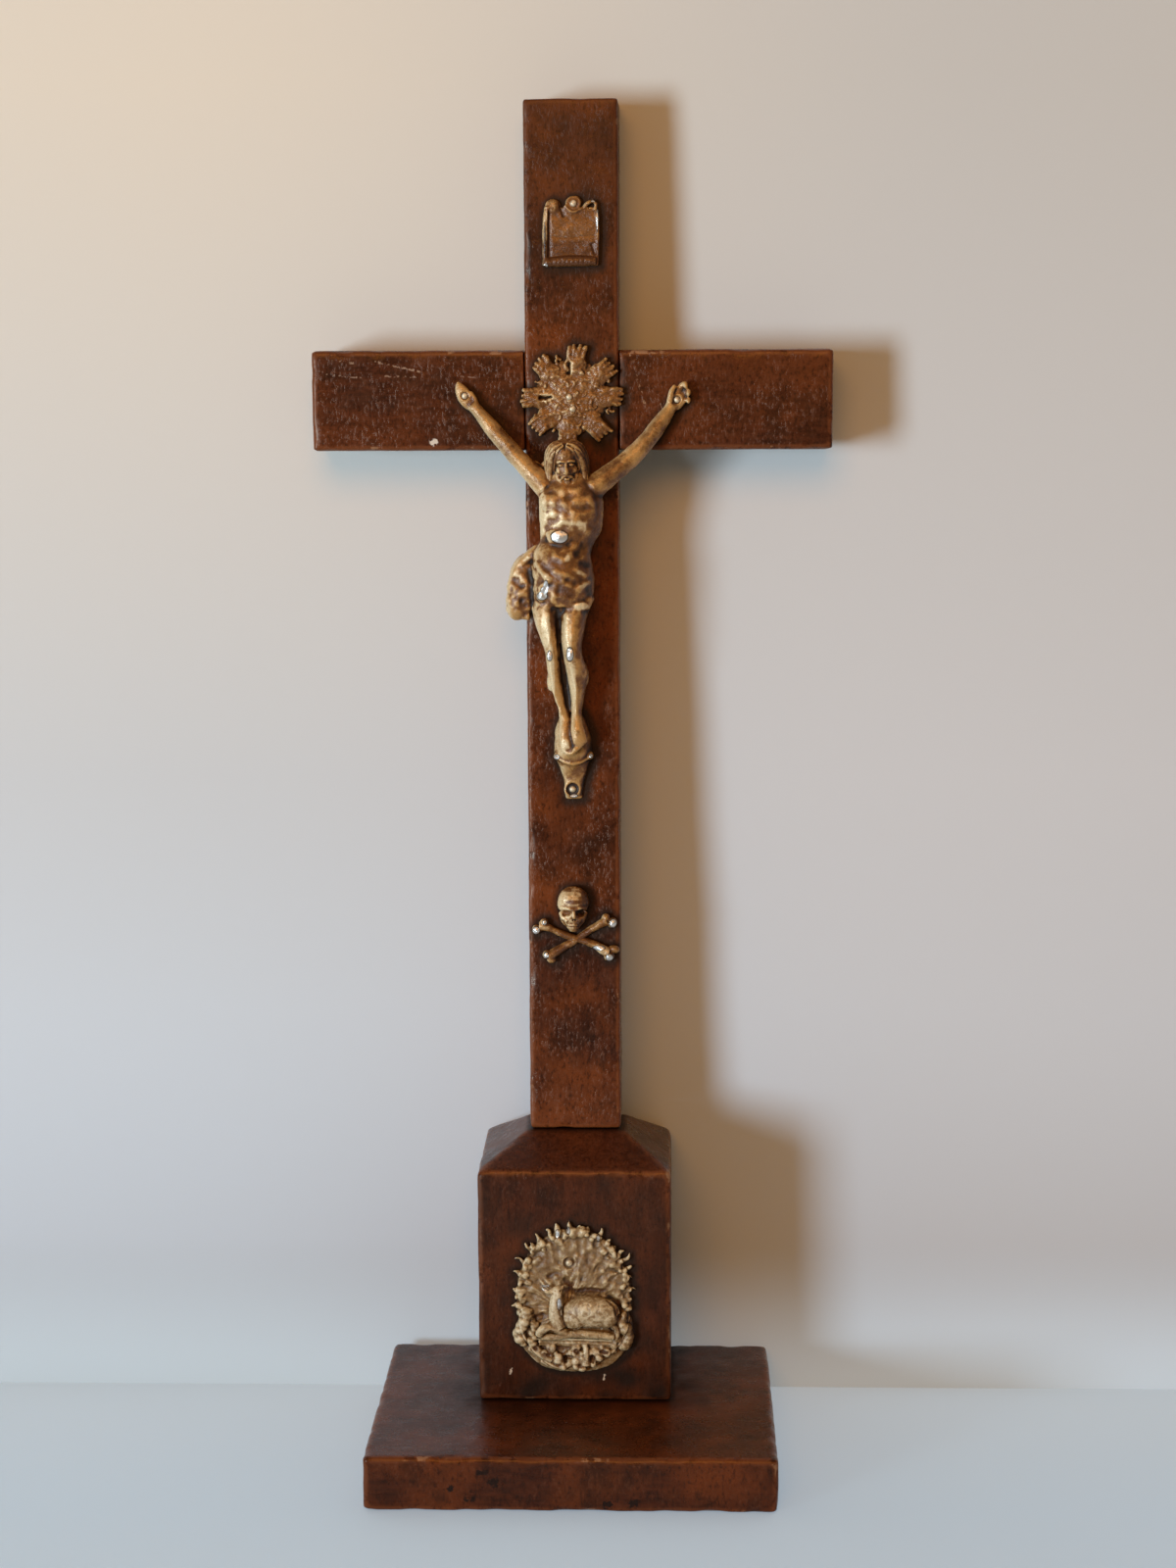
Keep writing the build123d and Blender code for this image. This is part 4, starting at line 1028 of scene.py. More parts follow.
        ([(1.0, 87.4), (3.0, 87.0), (5.4, 87.8)], 1.5, -0.22),
        ([(-5.4, 76.4), (-3.2, 75.9), (-0.8, 76.6)], 1.3, -0.25), ([(3.4, 76.0), (1.8, 74.0)], 2.0, -0.4),
        ([(-3.4, 63.4), (-0.6, 62.2)], 2.4, -0.45),
        ([(-12.6, 69.0), (-12.0, 65.0), (-11.7, 60.5), (-11.6, 56.0)], 1.5, -0.4),
        ([(-16.2, 65.6), (-15.4, 64.2)], 2.1, -0.6), ([(-14.4, 60.4), (-14.0, 58.8)], 1.8, -0.5),
        ([(-4.0, 57.6), (-3.9, 50.0), (-3.4, 43.0)], 1.1, -0.4), ([(3.2, 71.4), (4.6, 70.6)], 1.6, -0.35),
        ([(-1.0, 66.4), (1.0, 65.6)], 1.6, -0.35),
    ],
    "lumps": [(3.2, 0.12, 4.0), (1.3, 0.03, 6.0)],  # size, depth and seed
    "chestLumps": {
        "across": -0.6, "up": 86.5, "inner": 7.0, "outer": 10.0, "front": 4.0, "size": 2.7, "depth": 0.16,
    },
    "clothLumps": {"up": 66.5, "inner": 8.5, "outer": 11.0, "front": 1.5},
    "relief": (0.13, 0.5, 2.4),  # fine and broad rise, and how far out from the wood the dirt and painted contact shade reach
}


def headPoint(u, v, w):  # right, forward and up from the middle of the head
    x, forward, up = figure["head"]
    nod, lean = math.radians(figure["nod"]), math.radians(figure["lean"])
    rise = -v * math.sin(nod) + w * math.cos(nod)
    return (
        x + u * math.cos(lean) - rise * math.sin(lean),
        forward + v * math.cos(nod) + w * math.sin(nod),
        up + rise * math.cos(lean) + u * math.sin(lean),
    )


def headLimb(bm, rows, steps=3, sides=10):
    addLimb(bm, [(*headPoint(*row[:3]), *row[3:]) for row in rows], steps, sides)


def bodySkin():
    bm = bmesh.new()
    for label in ("torso", "leftLeg", "rightLeg", "legWeb", "bracket", "cloth"):
        addLimb(bm, figure[label], 3, 24, level=True)
    for label in ("leftArm", "rightArm", "leftFoot", "rightFoot", "drape", "web"):
        addLimb(bm, figure[label], 3, 16)
    for label in ("leftHand", "rightHand", "sashes"):
        for rows in figure[label]:
            addLimb(bm, rows, 3, 10)
    for label in ("masses", "palms"):
        for place, radii, turn in figure[label]:
            addMass(bm, place, radii, turn)
    for x, forward, up, radius in figure["toes"]:
        addMass(bm, (x, forward, up), (radius, radius, radius * 1.25))
    mesh = castSkin(bm, "figureBody", figure["voxel"], 3)
    carve(mesh, figure["ridges"] + figure["cuts"])
    for size, depth, seed in figure["lumps"]:
        roughen(mesh, size, depth, seed)
    places, normals = readSurface(mesh)
    chest = figure["chestLumps"]
    away = np.hypot(places[:, 0] - chest["across"], places[:, 2] - chest["up"])
    bulge = easeStep(-away, -chest["outer"], -chest["inner"]) * (places[:, 1] < -chest["front"])
    places += normals * (chest["depth"] * bulge * noiseAt(places, chest["size"], 29.0))[:, None]
    drape = figure["clothLumps"]
    away = np.abs(places[:, 2] - drape["up"])
    cloth = easeStep(-away, -drape["outer"], -drape["inner"]) * (places[:, 1] < -drape["front"])
    # fading up and away from the gathered hip
    cloth *= easeStep(-places[:, 2] - 0.9 * np.abs(places[:, 0] + 11), -80.0, -66.0)
    lumps = 0.32 * noiseAt(places, 2.8, 9.0) + 0.14 * noiseAt(places, 1.4, 14.0)
    places += normals * (cloth * lumps)[:, None]
    for pin in figure["pins"]:
        seatPin(places, *pin)
    writePlaces(mesh, places)
    return mesh


def addLock(bm, side, spread, back, drop):  # one lock of hair, from the parting to the shoulder
    rows = [
        (0.5 + spread, 2.3 + back, 5.6, 0.8), (2.9 + spread, 2.6 + back, 4.2, 1.2),
        (4.3 + 0.8 * spread, 1.6 + back, 0.8, 1.35), (4.7 + 0.6 * spread, 1.0 + 0.8 * back, -2.8, 1.3),
        (4.9 + 0.5 * spread, 1.4 + 0.7 * back, -6.2 + drop, 1.15),
        (4.4 + 0.5 * spread, 1.9 + 0.6 * back, -8.6 + drop, 0.7),
    ]
    headLimb(bm, [(side * u, v, w, radius) for u, v, w, radius in rows], 3, 12)


def headSkin():
    bm = bmesh.new()
    for place, radii in (
        ((0, -0.4, 1.7), (4.0, 4.4, 4.4)), ((0, 0.9, -1.8), (3.05, 3.3, 4.1)),  # head and jaw
        ((0, -1.0, 1.8), (4.8, 4.3, 4.6)), ((0, 3.1, -5.3), (1.3, 1.0, 1.4)),  # hair and chin
    ):
        addMass(bm, headPoint(*place), radii)
    # neck
    addLimb(bm, [(*headPoint(0, -1.2, -2.0), 3.0), (-1.2, 7.2, 95.5, 3.2), (-1.0, 6.6, 91.0, 3.4)], 3, 16)
    headLimb(bm, [  # brows
        (-2.6, 3.0, 0.6, 0.4), (-1.4, 3.7, 0.95, 0.45), (0, 3.7, 0.75, 0.42),
        (1.4, 3.7, 0.95, 0.45), (2.6, 3.0, 0.6, 0.4),
    ])
    # nose
    headLimb(bm, [(0, 3.6, 0.7, 0.42), (0, 4.3, -0.8, 0.5), (0, 4.95, -2.1, 0.62), (0, 4.4, -2.7, 0.45)])
    headLimb(bm, [(-0.75, 3.95, -4.3, 0.26), (0, 4.1, -4.35, 0.32), (0.75, 3.95, -4.3, 0.26)])  # lower lip
    for side in (-1, 1):
        addMass(bm, headPoint(side * 0.58, 4.2, -2.5), (0.42, 0.42, 0.36))  # nostrils
        addMass(bm, headPoint(side * 1.45, 3.3, -0.3), (0.88, 0.5, 0.5))  # eyes
        addMass(bm, headPoint(side * 2.0, 2.6, -1.9), (1.1, 1.0, 1.2))  # cheeks
        headLimb(bm, [  # moustache
            (0, 4.15, -3.25, 0.32), (side * 1.1, 3.9, -3.65, 0.42), (side * 1.9, 3.3, -4.7, 0.38),
        ])
        headLimb(bm, [  # beard
            (side * 2.8, 1.7, -2.4, 0.7), (side * 2.4, 2.5, -4.6, 0.8),
            (side * 1.1, 3.2, -6.2, 0.75), (side * 0.5, 3.3, -7.1, 0.4),
        ])
        for spread, back, drop in ((0, 0, 0), (0.7, -1.3, -0.6), (1.1, -2.8, 0.3)):
            addLock(bm, side, spread, back, drop)
    mesh = castSkin(bm, "figureHead", figure["headVoxel"], 2)
    places, normals = readSurface(mesh)

    def faceLine(points, width, depth):
        spots = [headPoint(u, 3.6, w) for u, w in points]
        stroke(places, normals, [(spot[0], spot[2]) for spot in spots], width, depth)

    for side in (-1, 1):
        faceLine([(side * 0.75, -0.55), (side * 1.5, -0.75), (side * 2.2, -0.45)], 0.28, -0.16)  # closed lids
        faceLine([(side * 0.7, 0.25), (side * 1.6, 0.42), (side * 2.3, 0.1)], 0.35, -0.2)
        for strand in range(7):  # combed hair
            share = strand / 6
            faceLine([
                (side * (0.3 + 2.2 * share), 6.0 - 0.6 * share),
                (side * (2.2 + 2.2 * share), 4.4 - 0.8 * share), (side * (3.5 + 2.2 * share), 1.0),
                (side * (3.8 + 1.9 * share), -3.0), (side * (3.9 + 1.7 * share), -6.6),
                (side * (3.8 + 1.5 * share), -8.8),
            ], 0.34, -0.3)
        for strand in range(4):  # beard
            top, foot = -5.0 + 0.5 * strand, -7.0 + 0.35 * strand
            faceLine(
                [(side * (0.25 + 0.62 * strand), top), (side * (0.15 + 0.3 * strand), foot)], 0.26, -0.16
            )
    faceLine([(0, 6.4), (0, 4.2)], 0.3, -0.3)  # parting
    faceLine([(-1.0, -4.0), (0, -3.92), (1.0, -4.0)], 0.24, -0.22)  # mouth
    writePlaces(mesh, places)
    roughen(mesh, 0.9, 0.05, 12.0)
    return mesh


def makeFigure():
    body, head = bodySkin(), headSkin()
    bm = bmesh.new()
    bm.from_mesh(body)
    bm.from_mesh(head)
    mesh = newMesh(bm, "figure")
    markCasting(mesh, figure)
    return mesh


# Rayed nimbus, from its middle, in mm

nimbusShape = {
    "voxel": 0.17,
    "discRadius": 10.8,
    "rays": [
        (83, 15.4), (38, 15.3), (0, 15.3), (-50, 15.4),
        (-95, 14.0), (-139.5, 15.2), (-179, 15.0), (133, 14.7),
    ],
    "curls": 80,
    "seed": 5,
    "pins": [(-0.7, -1.0, 2.2, 1.0), (0.3, -4.5, 2.2, 1.0)],
    "pale": [(-4.0, 0.0, 8.0, 10.0, 0.45), (2.0, 5.0, 8.0, 7.0, 0.35)],
    "bare": [],
    "brown_and_shade": [],
    "cuts": [  # open slots
        ([(-0.8, 9.6), (-0.9, 7.0)], 1.0, -1.5), ([(-9.0, -0.3), (-6.2, -0.2)], 1.0, -1.5),
    ],
    "lumps": [(2.4, 0.22, 23.0), (0.9, 0.1, 21.0)],
    "relief": (0.24, 0.8, 1.2),
}


def makeNimbus():
    settings = nimbusShape
    chance = random.Random(settings["seed"])
    bm = bmesh.new()
    radius = settings["discRadius"]
    addMass(bm, (0, 0.2, 0), (radius, 1.75, radius))
    for angle, reach in settings["rays"]:
        turn = math.radians(angle)
        out, aside = Vector((math.cos(turn), math.sin(turn))), Vector((-math.sin(turn), math.cos(turn)))

        def ray(distance, sideways, forward, *sizes):
            spot = out * distance + aside * sideways
            return (spot.x, forward, spot.y, *sizes)

        addLimb(bm, [
            ray(5, 0, 0.6, 4.0, 0.9), ray(8.5, 0, 0.8, 3.5, 1.0),
            ray(11.4, 0, 0.9, 2.8, 1.0), ray(13.6, 0, 0.8, 2.4, 0.9),
        ], 3, 18)
        for lean in (-1.0, -0.3, 0.4, 1.0):  # ragged tip
            end = min(reach - 0.3 * abs(lean) + chance.uniform(-0.5, 0.3), 15.4)
            tip = lean * (2.2 + chance.uniform(-0.3, 0.5))
            addLimb(bm, [
                ray(11.4, lean * 1.8, 0.9, 0.95), ray(13.4, lean * 2.1, 1.0, 0.85), ray(end, tip, 0.9, 0.5),
            ], 2, 8)
    for _ in range(settings["curls"]):  # worn leafy relief
        distance, turn = radius * 1.15 * math.sqrt(chance.random()), chance.uniform(0, 2 * math.pi)
        bend, start = chance.uniform(0.5, 1.5), chance.uniform(0, 2 * math.pi)
        centre = Vector((distance * math.cos(turn), distance * math.sin(turn)))
        level = 0.45 + 1.25 * max(0.0, 1 - (distance / (radius * 1.12)) ** 2) ** 0.5
        addLimb(bm, [
            (centre.x + bend * math.cos(start + step), level, centre.y + bend * math.sin(start + step), size)
            for step, size in ((0, 0.25), (0.7, 0.42), (1.4, 0.42), (2.1, 0.25))
        ], 2, 8)
    mesh = castSkin(bm, "nimbus", settings["voxel"], 3)
    carve(mesh, settings["cuts"])
    finishCasting(mesh, settings)
    return mesh


# Scroll plaque, from its middle, in mm

plaqueShape = {
    "voxel": 0.15,
    "half": (8.2, 10.5),
    "pins": [(0.8, 8.2, 1.3, 1.6)],
    "brown_and_shade": [
        (0.3, -4.9, 40.0, 3.2, 1.0), (0.3, -7.4, 40.0, 3.2, 1.0),
        (4.0, 5.0, 3.0, 2.0, 0.5), (-3.0, 5.8, 2.0, 2.4, 0.5),
    ],
    "bare": [
        (-7.5, -2.0, 0.45, 6.0, 0.4), (7.7, 3.4, 0.35, 4.0, 0.7),
        (-7.4, -9.6, 0.9, 0.7, 0.7), (6.6, 8.8, 0.8, 0.5, 0.6),
    ],
    "pale": [(-7.2, -1.0, 0.9, 9.0, 1.0), (-5.4, 7.2, 1.6, 2.0, 0.5)],
    "cuts": [
        ([(-6.4, -1.2), (-1.0, -1.6), (6.8, -1.0)], 0.6, -0.12), ([(5.7, 7.0)], 0.8, -0.7),
        ([(-3.0, 8.2), (-2.6, 6.2), (-2.0, 4.6)], 0.9, -0.35), ([(6.2, -3.6), (6.9, -6.0)], 0.9, -0.4),
        ([(-6.2, 6.0), (-6.1, -8.0)], 0.7, -0.2),
    ],
    "lumps": [(2.6, 0.1, 31.0), (0.8, 0.025, 33.0)],
    "relief": (0.2, 0.7, 0.8),
}


def makePlaque():
    settings = plaqueShape
    wide, tall = settings["half"]
    bm = bmesh.new()
    addSlab(bm, (0, 0.35, -1.3), (wide - 0.4, 0.75, tall - 2.2))  # sheet
    addLimb(bm, [  # left roll
        (-wide + 0.7, 0.9, -tall + 1.0, 0.75), (-wide + 0.75, 1.1, -3, 0.85),
        (-wide + 0.9, 1.0, 3, 0.85), (-wide + 1.5, 0.9, 7.2, 1.0),
    ], 3, 12)
    addLimb(bm, [  # right edge
        (wide - 0.6, 0.6, -tall + 1.4, 0.55), (wide - 0.4, 0.9, -2, 0.5),
        (wide - 0.45, 0.9, 3, 0.5), (wide - 0.9, 0.9, 7.2, 0.55),
    ], 3, 10)
    addLimb(bm, [  # foot roll
        (-wide + 0.8, 0.5, -tall + 1.9, 1.4, 1.5), (-2, 0.6, -tall + 2.2, 1.6, 1.7),
        (3, 0.6, -tall + 2.3, 1.6, 1.7), (wide - 0.9, 0.5, -tall + 2.2, 1.4, 1.5),
    ], 3, 16)
    addMass(bm, (0.8, 0.2, 8.2), (2.5, 1.5, 2.2))  # boss of the pin
    addLimb(bm, [  # top edge
        (-1.6, 0.7, 7.6, 0.6), (0.4, 1.0, 5.8, 0.5), (2.6, 0.9, 6.4, 0.5), (3.6, 0.8, 7.0, 0.4),
    ], 3, 10)
    addMass(bm, (-5.2, 0.5, 7.2), (2.3, 1.2, 2.3), 18)  # left curl
    addLimb(bm, [  # right curl
        (3.8, 0.6, 6.8, 0.7), (4.9, 1.0, 8.2, 0.55), (6.4, 1.1, 8.7, 0.5),
        (7.3, 1.0, 7.8, 0.5), (7.0, 1.0, 6.2, 0.5),
    ], 3, 10)
    mesh = castSkin(bm, "plaque", settings["voxel"], 3)
    fringe = []  # worn, above the foot
    for step in range(9):
        x = -5.4 + 1.3 * step
        fringe.append(([(x, -9.2), (x + 0.15, -8.0)], 0.4, -0.1))
    carve(mesh, fringe + settings["cuts"])
    finishCasting(mesh, settings)
    return mesh


# Skull over crossed bones, from the middle of the skull, in mm

skullShape = {
    "voxel": 0.15,
    "bones": [  # rows of across, forward, up and radius
        [
            (-10.2, 1.0, -5.4, 1.5), (-8.6, 1.0, -5.4, 1.35), (-6.0, 0.9, -6.5, 0.95),
            (-2.5, 0.9, -8.1, 1.0), (2.4, 0.9, -9.6, 1.05), (6.3, 1.0, -11.0, 1.15),
            (8.8, 1.1, -12.5, 1.45), (10.6, 1.1, -13.4, 1.7),
        ],
        [
            (-7.4, 1.1, -14.6, 1.7), (-5.4, 1.1, -13.2, 1.4), (-2.8, 1.0, -11.6, 1.2),
            (-0.2, 1.0, -10.1, 1.1), (2.6, 0.9, -8.2, 1.0), (5.2, 0.9, -6.3, 1.05), (7.8, 1.0, -4.8, 1.3),
            (10.0, 1.0, -3.7, 1.5),
        ],
    ],
    "knobs": [
        ((-11.0, 1.1, -6.4), (1.35, 1.4, 1.5), -30), ((-8.8, 1.2, -4.2), (1.3, 1.3, 1.3), 0),
        ((-8.0, 1.3, -13.9), (1.3, 1.4, 1.3), 0), ((-6.6, 1.2, -15.4), (1.4, 1.3, 1.2), 20),
        ((11.7, 1.1, -4.3), (1.35, 1.4, 1.6), 20), ((9.7, 1.1, -2.8), (1.2, 1.2, 1.3), 30),
        ((10.7, 1.2, -14.4), (1.6, 1.5, 1.5), 0), ((12.2, 1.0, -12.3), (1.7, 1.3, 1.2), 12),
    ],
    "bare": [
        (-11.2, -6.5, 1.3, 1.4, 1.0), (11.9, -4.3, 1.3, 1.6, 1.0), (10.8, -14.7, 1.3, 1.3, 1.0),
        (7.6, -11.8, 2.2, 0.9, 0.9), (-8.2, -14.0, 0.9, 1.2, 0.8), (-8.6, -4.0, 0.9, 0.9, 0.6),
    ],
    # brown patina; the spots on the right side of the face and cranium are painted shade
    "brown_and_shade": [
        (0.3, 2.7, 3.3, 0.8, 1.0), (2.8, -2.0, 2.4, 4.8, 0.9), (0.4, 0.6, 1.6, 0.9, 0.9),
        (-3.6, -12.4, 3.2, 2.0, 0.9), (3.6, -8.2, 3.6, 2.6, 0.8), (-1.6, 6.2, 2.2, 0.8, 0.7),
        (3.6, 4.6, 1.4, 2.6, 0.7), (-2.0, -7.6, 3.0, 1.6, 0.7),
    ],
    # cream wear; the spots on the left side of the skull and by the left eye are painted highlight
    "pale": [
        (-2.6, -0.6, 1.6, 1.8, 0.7), (0.2, 3.6, 4.4, 4.6, 0.8), (-2.4, 2.0, 3.6, 7.0, 1.0),
        (0.8, 5.2, 3.6, 2.2, 0.9), (-0.8, -4.4, 1.4, 2.4, 0.8), (-8.6, -4.6, 2.4, 2.0, 0.6),
        (8.0, -12.4, 3.4, 2.4, 0.9),
    ],
    "cuts": [
        ([(-2.4, -0.9), (-1.4, -0.8)], 1.15, -0.95), ([(1.9, -0.7), (2.9, -0.5)], 1.35, -1.15),  # sockets
        ([(0.0, -2.9), (0.2, -2.5)], 0.4, -0.6), ([(0.8, -2.9), (0.65, -2.5)], 0.4, -0.6),  # nose
        ([(-3.2, -3.4), (-2.2, -5.0)], 0.8, -0.4), ([(3.2, -3.2), (2.2, -5.0)], 0.9, -0.5),  # hollow cheeks
        ([(-1.4, -4.9), (1.4, -4.9)], 0.35, -0.22),
    ],
    "lumps": [(2.6, 0.12, 41.0), (1.0, 0.03, 43.0)],
    "pins": [],
    "relief": (0.17, 0.6, 1.5),
    "rise": 7.0,  # from the middle of the skull to its top
    "shift": -0.3,
}


def makeSkull():
    settings = skullShape
    bm = bmesh.new()
    addMass(bm, (0, 1.6, 2.2), (4.8, 3.9, 4.8))  # cranium
    addMass(bm, (-0.1, 2.0, -1.8), (4.0, 3.2, 4.0))  # face
    addLimb(bm, [  # jaw
        (-0.1, 2.2, -3.0, 3.2, 2.6), (0.0, 2.3, -5.0, 2.2, 2.2), (0.1, 2.1, -6.6, 1.1, 1.5),
    ], 3, 14, level=True)
    addLimb(bm, [  # brow
        (-3.7, 3.3, 0.6, 0.6), (-2.0, 4.7, 0.9, 0.7), (0.2, 4.9, 0.4, 0.7),
        (2.2, 4.7, 0.9, 0.7), (3.8, 3.3, 0.6, 0.6),
    ], 3, 10)
    addLimb(bm, [(0.2, 5.2, 0.4, 0.5), (0.35, 5.8, -1.4, 0.55), (0.4, 5.6, -2.2, 0.45)], 2, 8)  # nose
    for side in (-1, 1):
        addLimb(bm, [  # cheekbones
            (side * 3.6, 2.6, -0.8, 0.9), (side * 2.9, 3.6, -2.1, 1.0), (side * 1.5, 4.2, -3.1, 0.9),
        ], 3, 10)
    for tooth in range(5):
        x = -1.1 + 0.55 * tooth
        addMass(bm, (x, 4.5 - 0.12 * x * x, -4.4), (0.3, 0.35, 0.5))
    for rows in settings["bones"]:
        addLimb(bm, rows, 3, 14)
    for place, radii, turn in settings["knobs"]:
        addMass(bm, place, radii, turn)
    mesh = castSkin(bm, "skull", settings["voxel"], 3)
    carve(mesh, settings["cuts"])
    finishCasting(mesh, settings)
    return mesh


# Medallion with the lamb on the sealed book, from the middle of its oval, in mm

medallionShape = {
    "voxel": 0.2,
    "half": (17.0, 22.3),
    "spikes": [  # tip across and up, and half width at the root
        (-5.6, 25.0, 1.0), (-1.3, 24.9, 0.9), (1.8, 23.6, 0.7), (4.7, 24.6, 0.9), (9.0, 23.0, 1.0),
        (11.6, 20.0, 0.7), (13.5, 18.0, 1.1), (15.6, 16.0, 0.7), (17.2, 14.4, 0.9), (17.9, 11.0, 0.7),
        (18.7, 7.7, 0.9), (19.3, 3.8, 0.9), (18.3, 0.2, 0.8), (17.8, -3.0, 0.7), (-8.2, 22.9, 0.7),
        (-12.0, 21.8, 1.0), (-13.6, 18.6, 0.7), (-15.8, 18.8, 0.9), (-17.5, 13.3, 0.9), (-18.5, 9.2, 0.9),
        (-19.3, 3.6, 0.9), (-18.2, 0.8, 0.7), (-19.4, -2.1, 1.1),
    ],
    "knobs": [
        (-13.6, 12.4, 1.1), (-14.6, 10.4, 0.9), (-12.2, 16.4, 0.9),
        (13.8, 9.4, 0.8), (12.4, 14.0, 0.8), (-2.6, 19.6, 0.8),
    ],
    "seed": 11,
    "pins": [(-1.3, 11.7, 1.6, 1.4)],
    "glory": (-2.0, -3.0),  # middle of the rays
    "bare": [
        (-4.2, 0.2, 0.7, 2.2, 1.0), (-8.4, 4.6, 1.4, 0.5, 0.7), (-10.4, -11.0, 1.0, 0.5, 0.5),
        (-4.8, 20.6, 0.8, 1.6, 0.8), (-1.6, 21.6, 0.8, 1.2, 0.7), (7.4, 19.4, 0.7, 1.4, 0.7),
        (-3.6, -2.4, 0.5, 1.6, 0.6),
    ],
    # brown patina and pits; the band above the lamb and the spot at its right are painted shadow
    "brown_and_shade": [
        (-5.6, 7.6, 3.0, 1.5, 0.6), (-1.8, 4.2, 1.6, 2.4, 0.95), (5.0, 3.2, 6.5, 1.0, 0.95),
        (13.4, -2.4, 1.0, 4.0, 0.95), (-6.6, -8.4, 1.6, 1.0, 0.9), (-9.0, 12.0, 2.6, 4.0, 0.45),
        (-10.0, -4.8, 3.0, 1.6, 0.6), (11.8, -8.6, 1.4, 1.6, 0.8), (3.0, 12.0, 4.0, 3.0, 0.3),
        (-5.0, -14.6, 5.0, 1.0, 0.7), (-8.0, -16.2, 2.0, 1.6, 0.9), (-2.6, -17.4, 1.6, 2.0, 0.9),
        (0.6, -15.2, 1.4, 1.4, 0.9), (5.6, -17.6, 1.6, 1.6, 0.8), (9.0, -15.4, 1.8, 1.2, 0.9),
        (-11.4, -14.4, 1.4, 1.2, 0.8), (2.0, -19.8, 1.4, 1.0, 0.8), (-5.2, -19.6, 1.6, 1.0, 0.8),
    ],
    "pale": [
        (5.2, -3.4, 8.4, 5.4, 0.8), (-5.0, -2.0, 2.6, 9.0, 0.7),
        (0.0, -16.0, 14.0, 6.0, 0.5), (-15.4, -9.0, 2.4, 5.0, 0.7),
    ],
    "cuts": [
        ([  # round the lamb
            (-2.2, 6.6), (-0.9, 3.6), (1.0, 2.6), (5.0, 3.2), (9.6, 2.6), (12.8, -0.4), (13.9, -4.6),
        ], 1.5, -0.9),
        ([(-1.6, -8.2), (3.0, -7.8), (8.0, -8.4)], 0.8, -0.35), ([(-6.8, -8.8)], 1.3, -0.9),
        ([(-7.2, 7.4), (-5.4, 8.6)], 1.6, -0.5), ([(-5.4, 4.3)], 0.45, -0.3), ([(-3.8, 4.3)], 0.45, -0.3),
        ([(11.4, -8.4)], 1.2, -0.8), ([(-9.4, -4.6), (-12.0, -5.6)], 1.4, -0.6),
        ([(-8.8, -16.0), (-7.2, -16.6)], 0.9, -0.6), ([(-2.6, -16.4), (-2.4, -18.4)], 0.8, -0.7),
        ([(0.6, -15.2)], 1.0, -0.6), ([(5.6, -17.0), (5.8, -18.4)], 0.9, -0.6),
        ([(8.2, -15.4), (10.2, -15.6)], 0.8, -0.6), ([(-11.4, -14.4)], 0.9, -0.6),
    ],
    "lumps": [(2.4, 0.1, 51.0), (0.8, 0.03, 53.0)],
    "relief": (0.17, 0.7, 0.9),
    "shift": -0.2,
}


def addLamb(bm):
    addMass(bm, (5.2, 2.9, -3.0), (8.5, 3.4, 4.9), 3)  # body
    addMass(bm, (9.6, 3.0, -3.6), (4.2, 2.8, 4.3), 0)  # haunch
    addMass(bm, (0.2, 3.4, -4.8), (3.6, 2.5, 3.4), 20)  # shoulder
    addLimb(bm, [  # neck
        (-4.2, 3.7, -7.6, 2.4, 2.0), (-5.3, 4.1, -4.0, 2.1, 2.0),
        (-5.5, 4.3, -0.4, 1.8, 1.8), (-5.0, 4.4, 2.8, 1.6, 1.6),
    ], 3, 14)
    addMass(bm, (-4.7, 4.5, 3.8), (1.8, 1.6, 1.8), 0)  # head
    addLimb(bm, [(-4.5, 5.1, 3.2, 1.2), (-4.1, 5.3, 1.2, 0.95), (-3.9, 5.1, -0.6, 0.75)], 3, 10)  # muzzle
    addLimb(bm, [(-5.4, 4.6, 4.2, 0.9), (-7.4, 4.8, 3.7, 0.75), (-9.5, 4.5, 5.0, 0.3)], 3, 10)  # horns
    addLimb(bm, [(-3.6, 4.6, 4.8, 0.8), (-2.4, 4.3, 5.2, 0.5), (-1.6, 3.9, 5.0, 0.3)], 3, 8)
    addLimb(bm, [  # foreleg
        (-2.2, 3.9, -9.4, 1.1), (-5.2, 4.5, -8.0, 1.2), (-7.9, 4.6, -7.4, 1.4),
        (-9.6, 4.2, -8.4, 1.4), (-10.4, 3.4, -10.0, 1.3),
    ], 3, 12)
    addLimb(bm, [  # folded legs
        (-9.6, 3.1, -10.8, 1.0), (-5.0, 3.7, -10.6, 1.0), (0.0, 4.0, -9.6, 1.1),
        (6.0, 4.0, -9.8, 1.2), (12.0, 3.3, -10.6, 1.0),
    ], 3, 10)
    addLimb(bm, [(11.6, 3.1, -7.0, 0.9), (13.0, 2.7, -9.2, 1.0), (12.6, 2.7, -11.4, 0.8)], 3, 8)  # tail


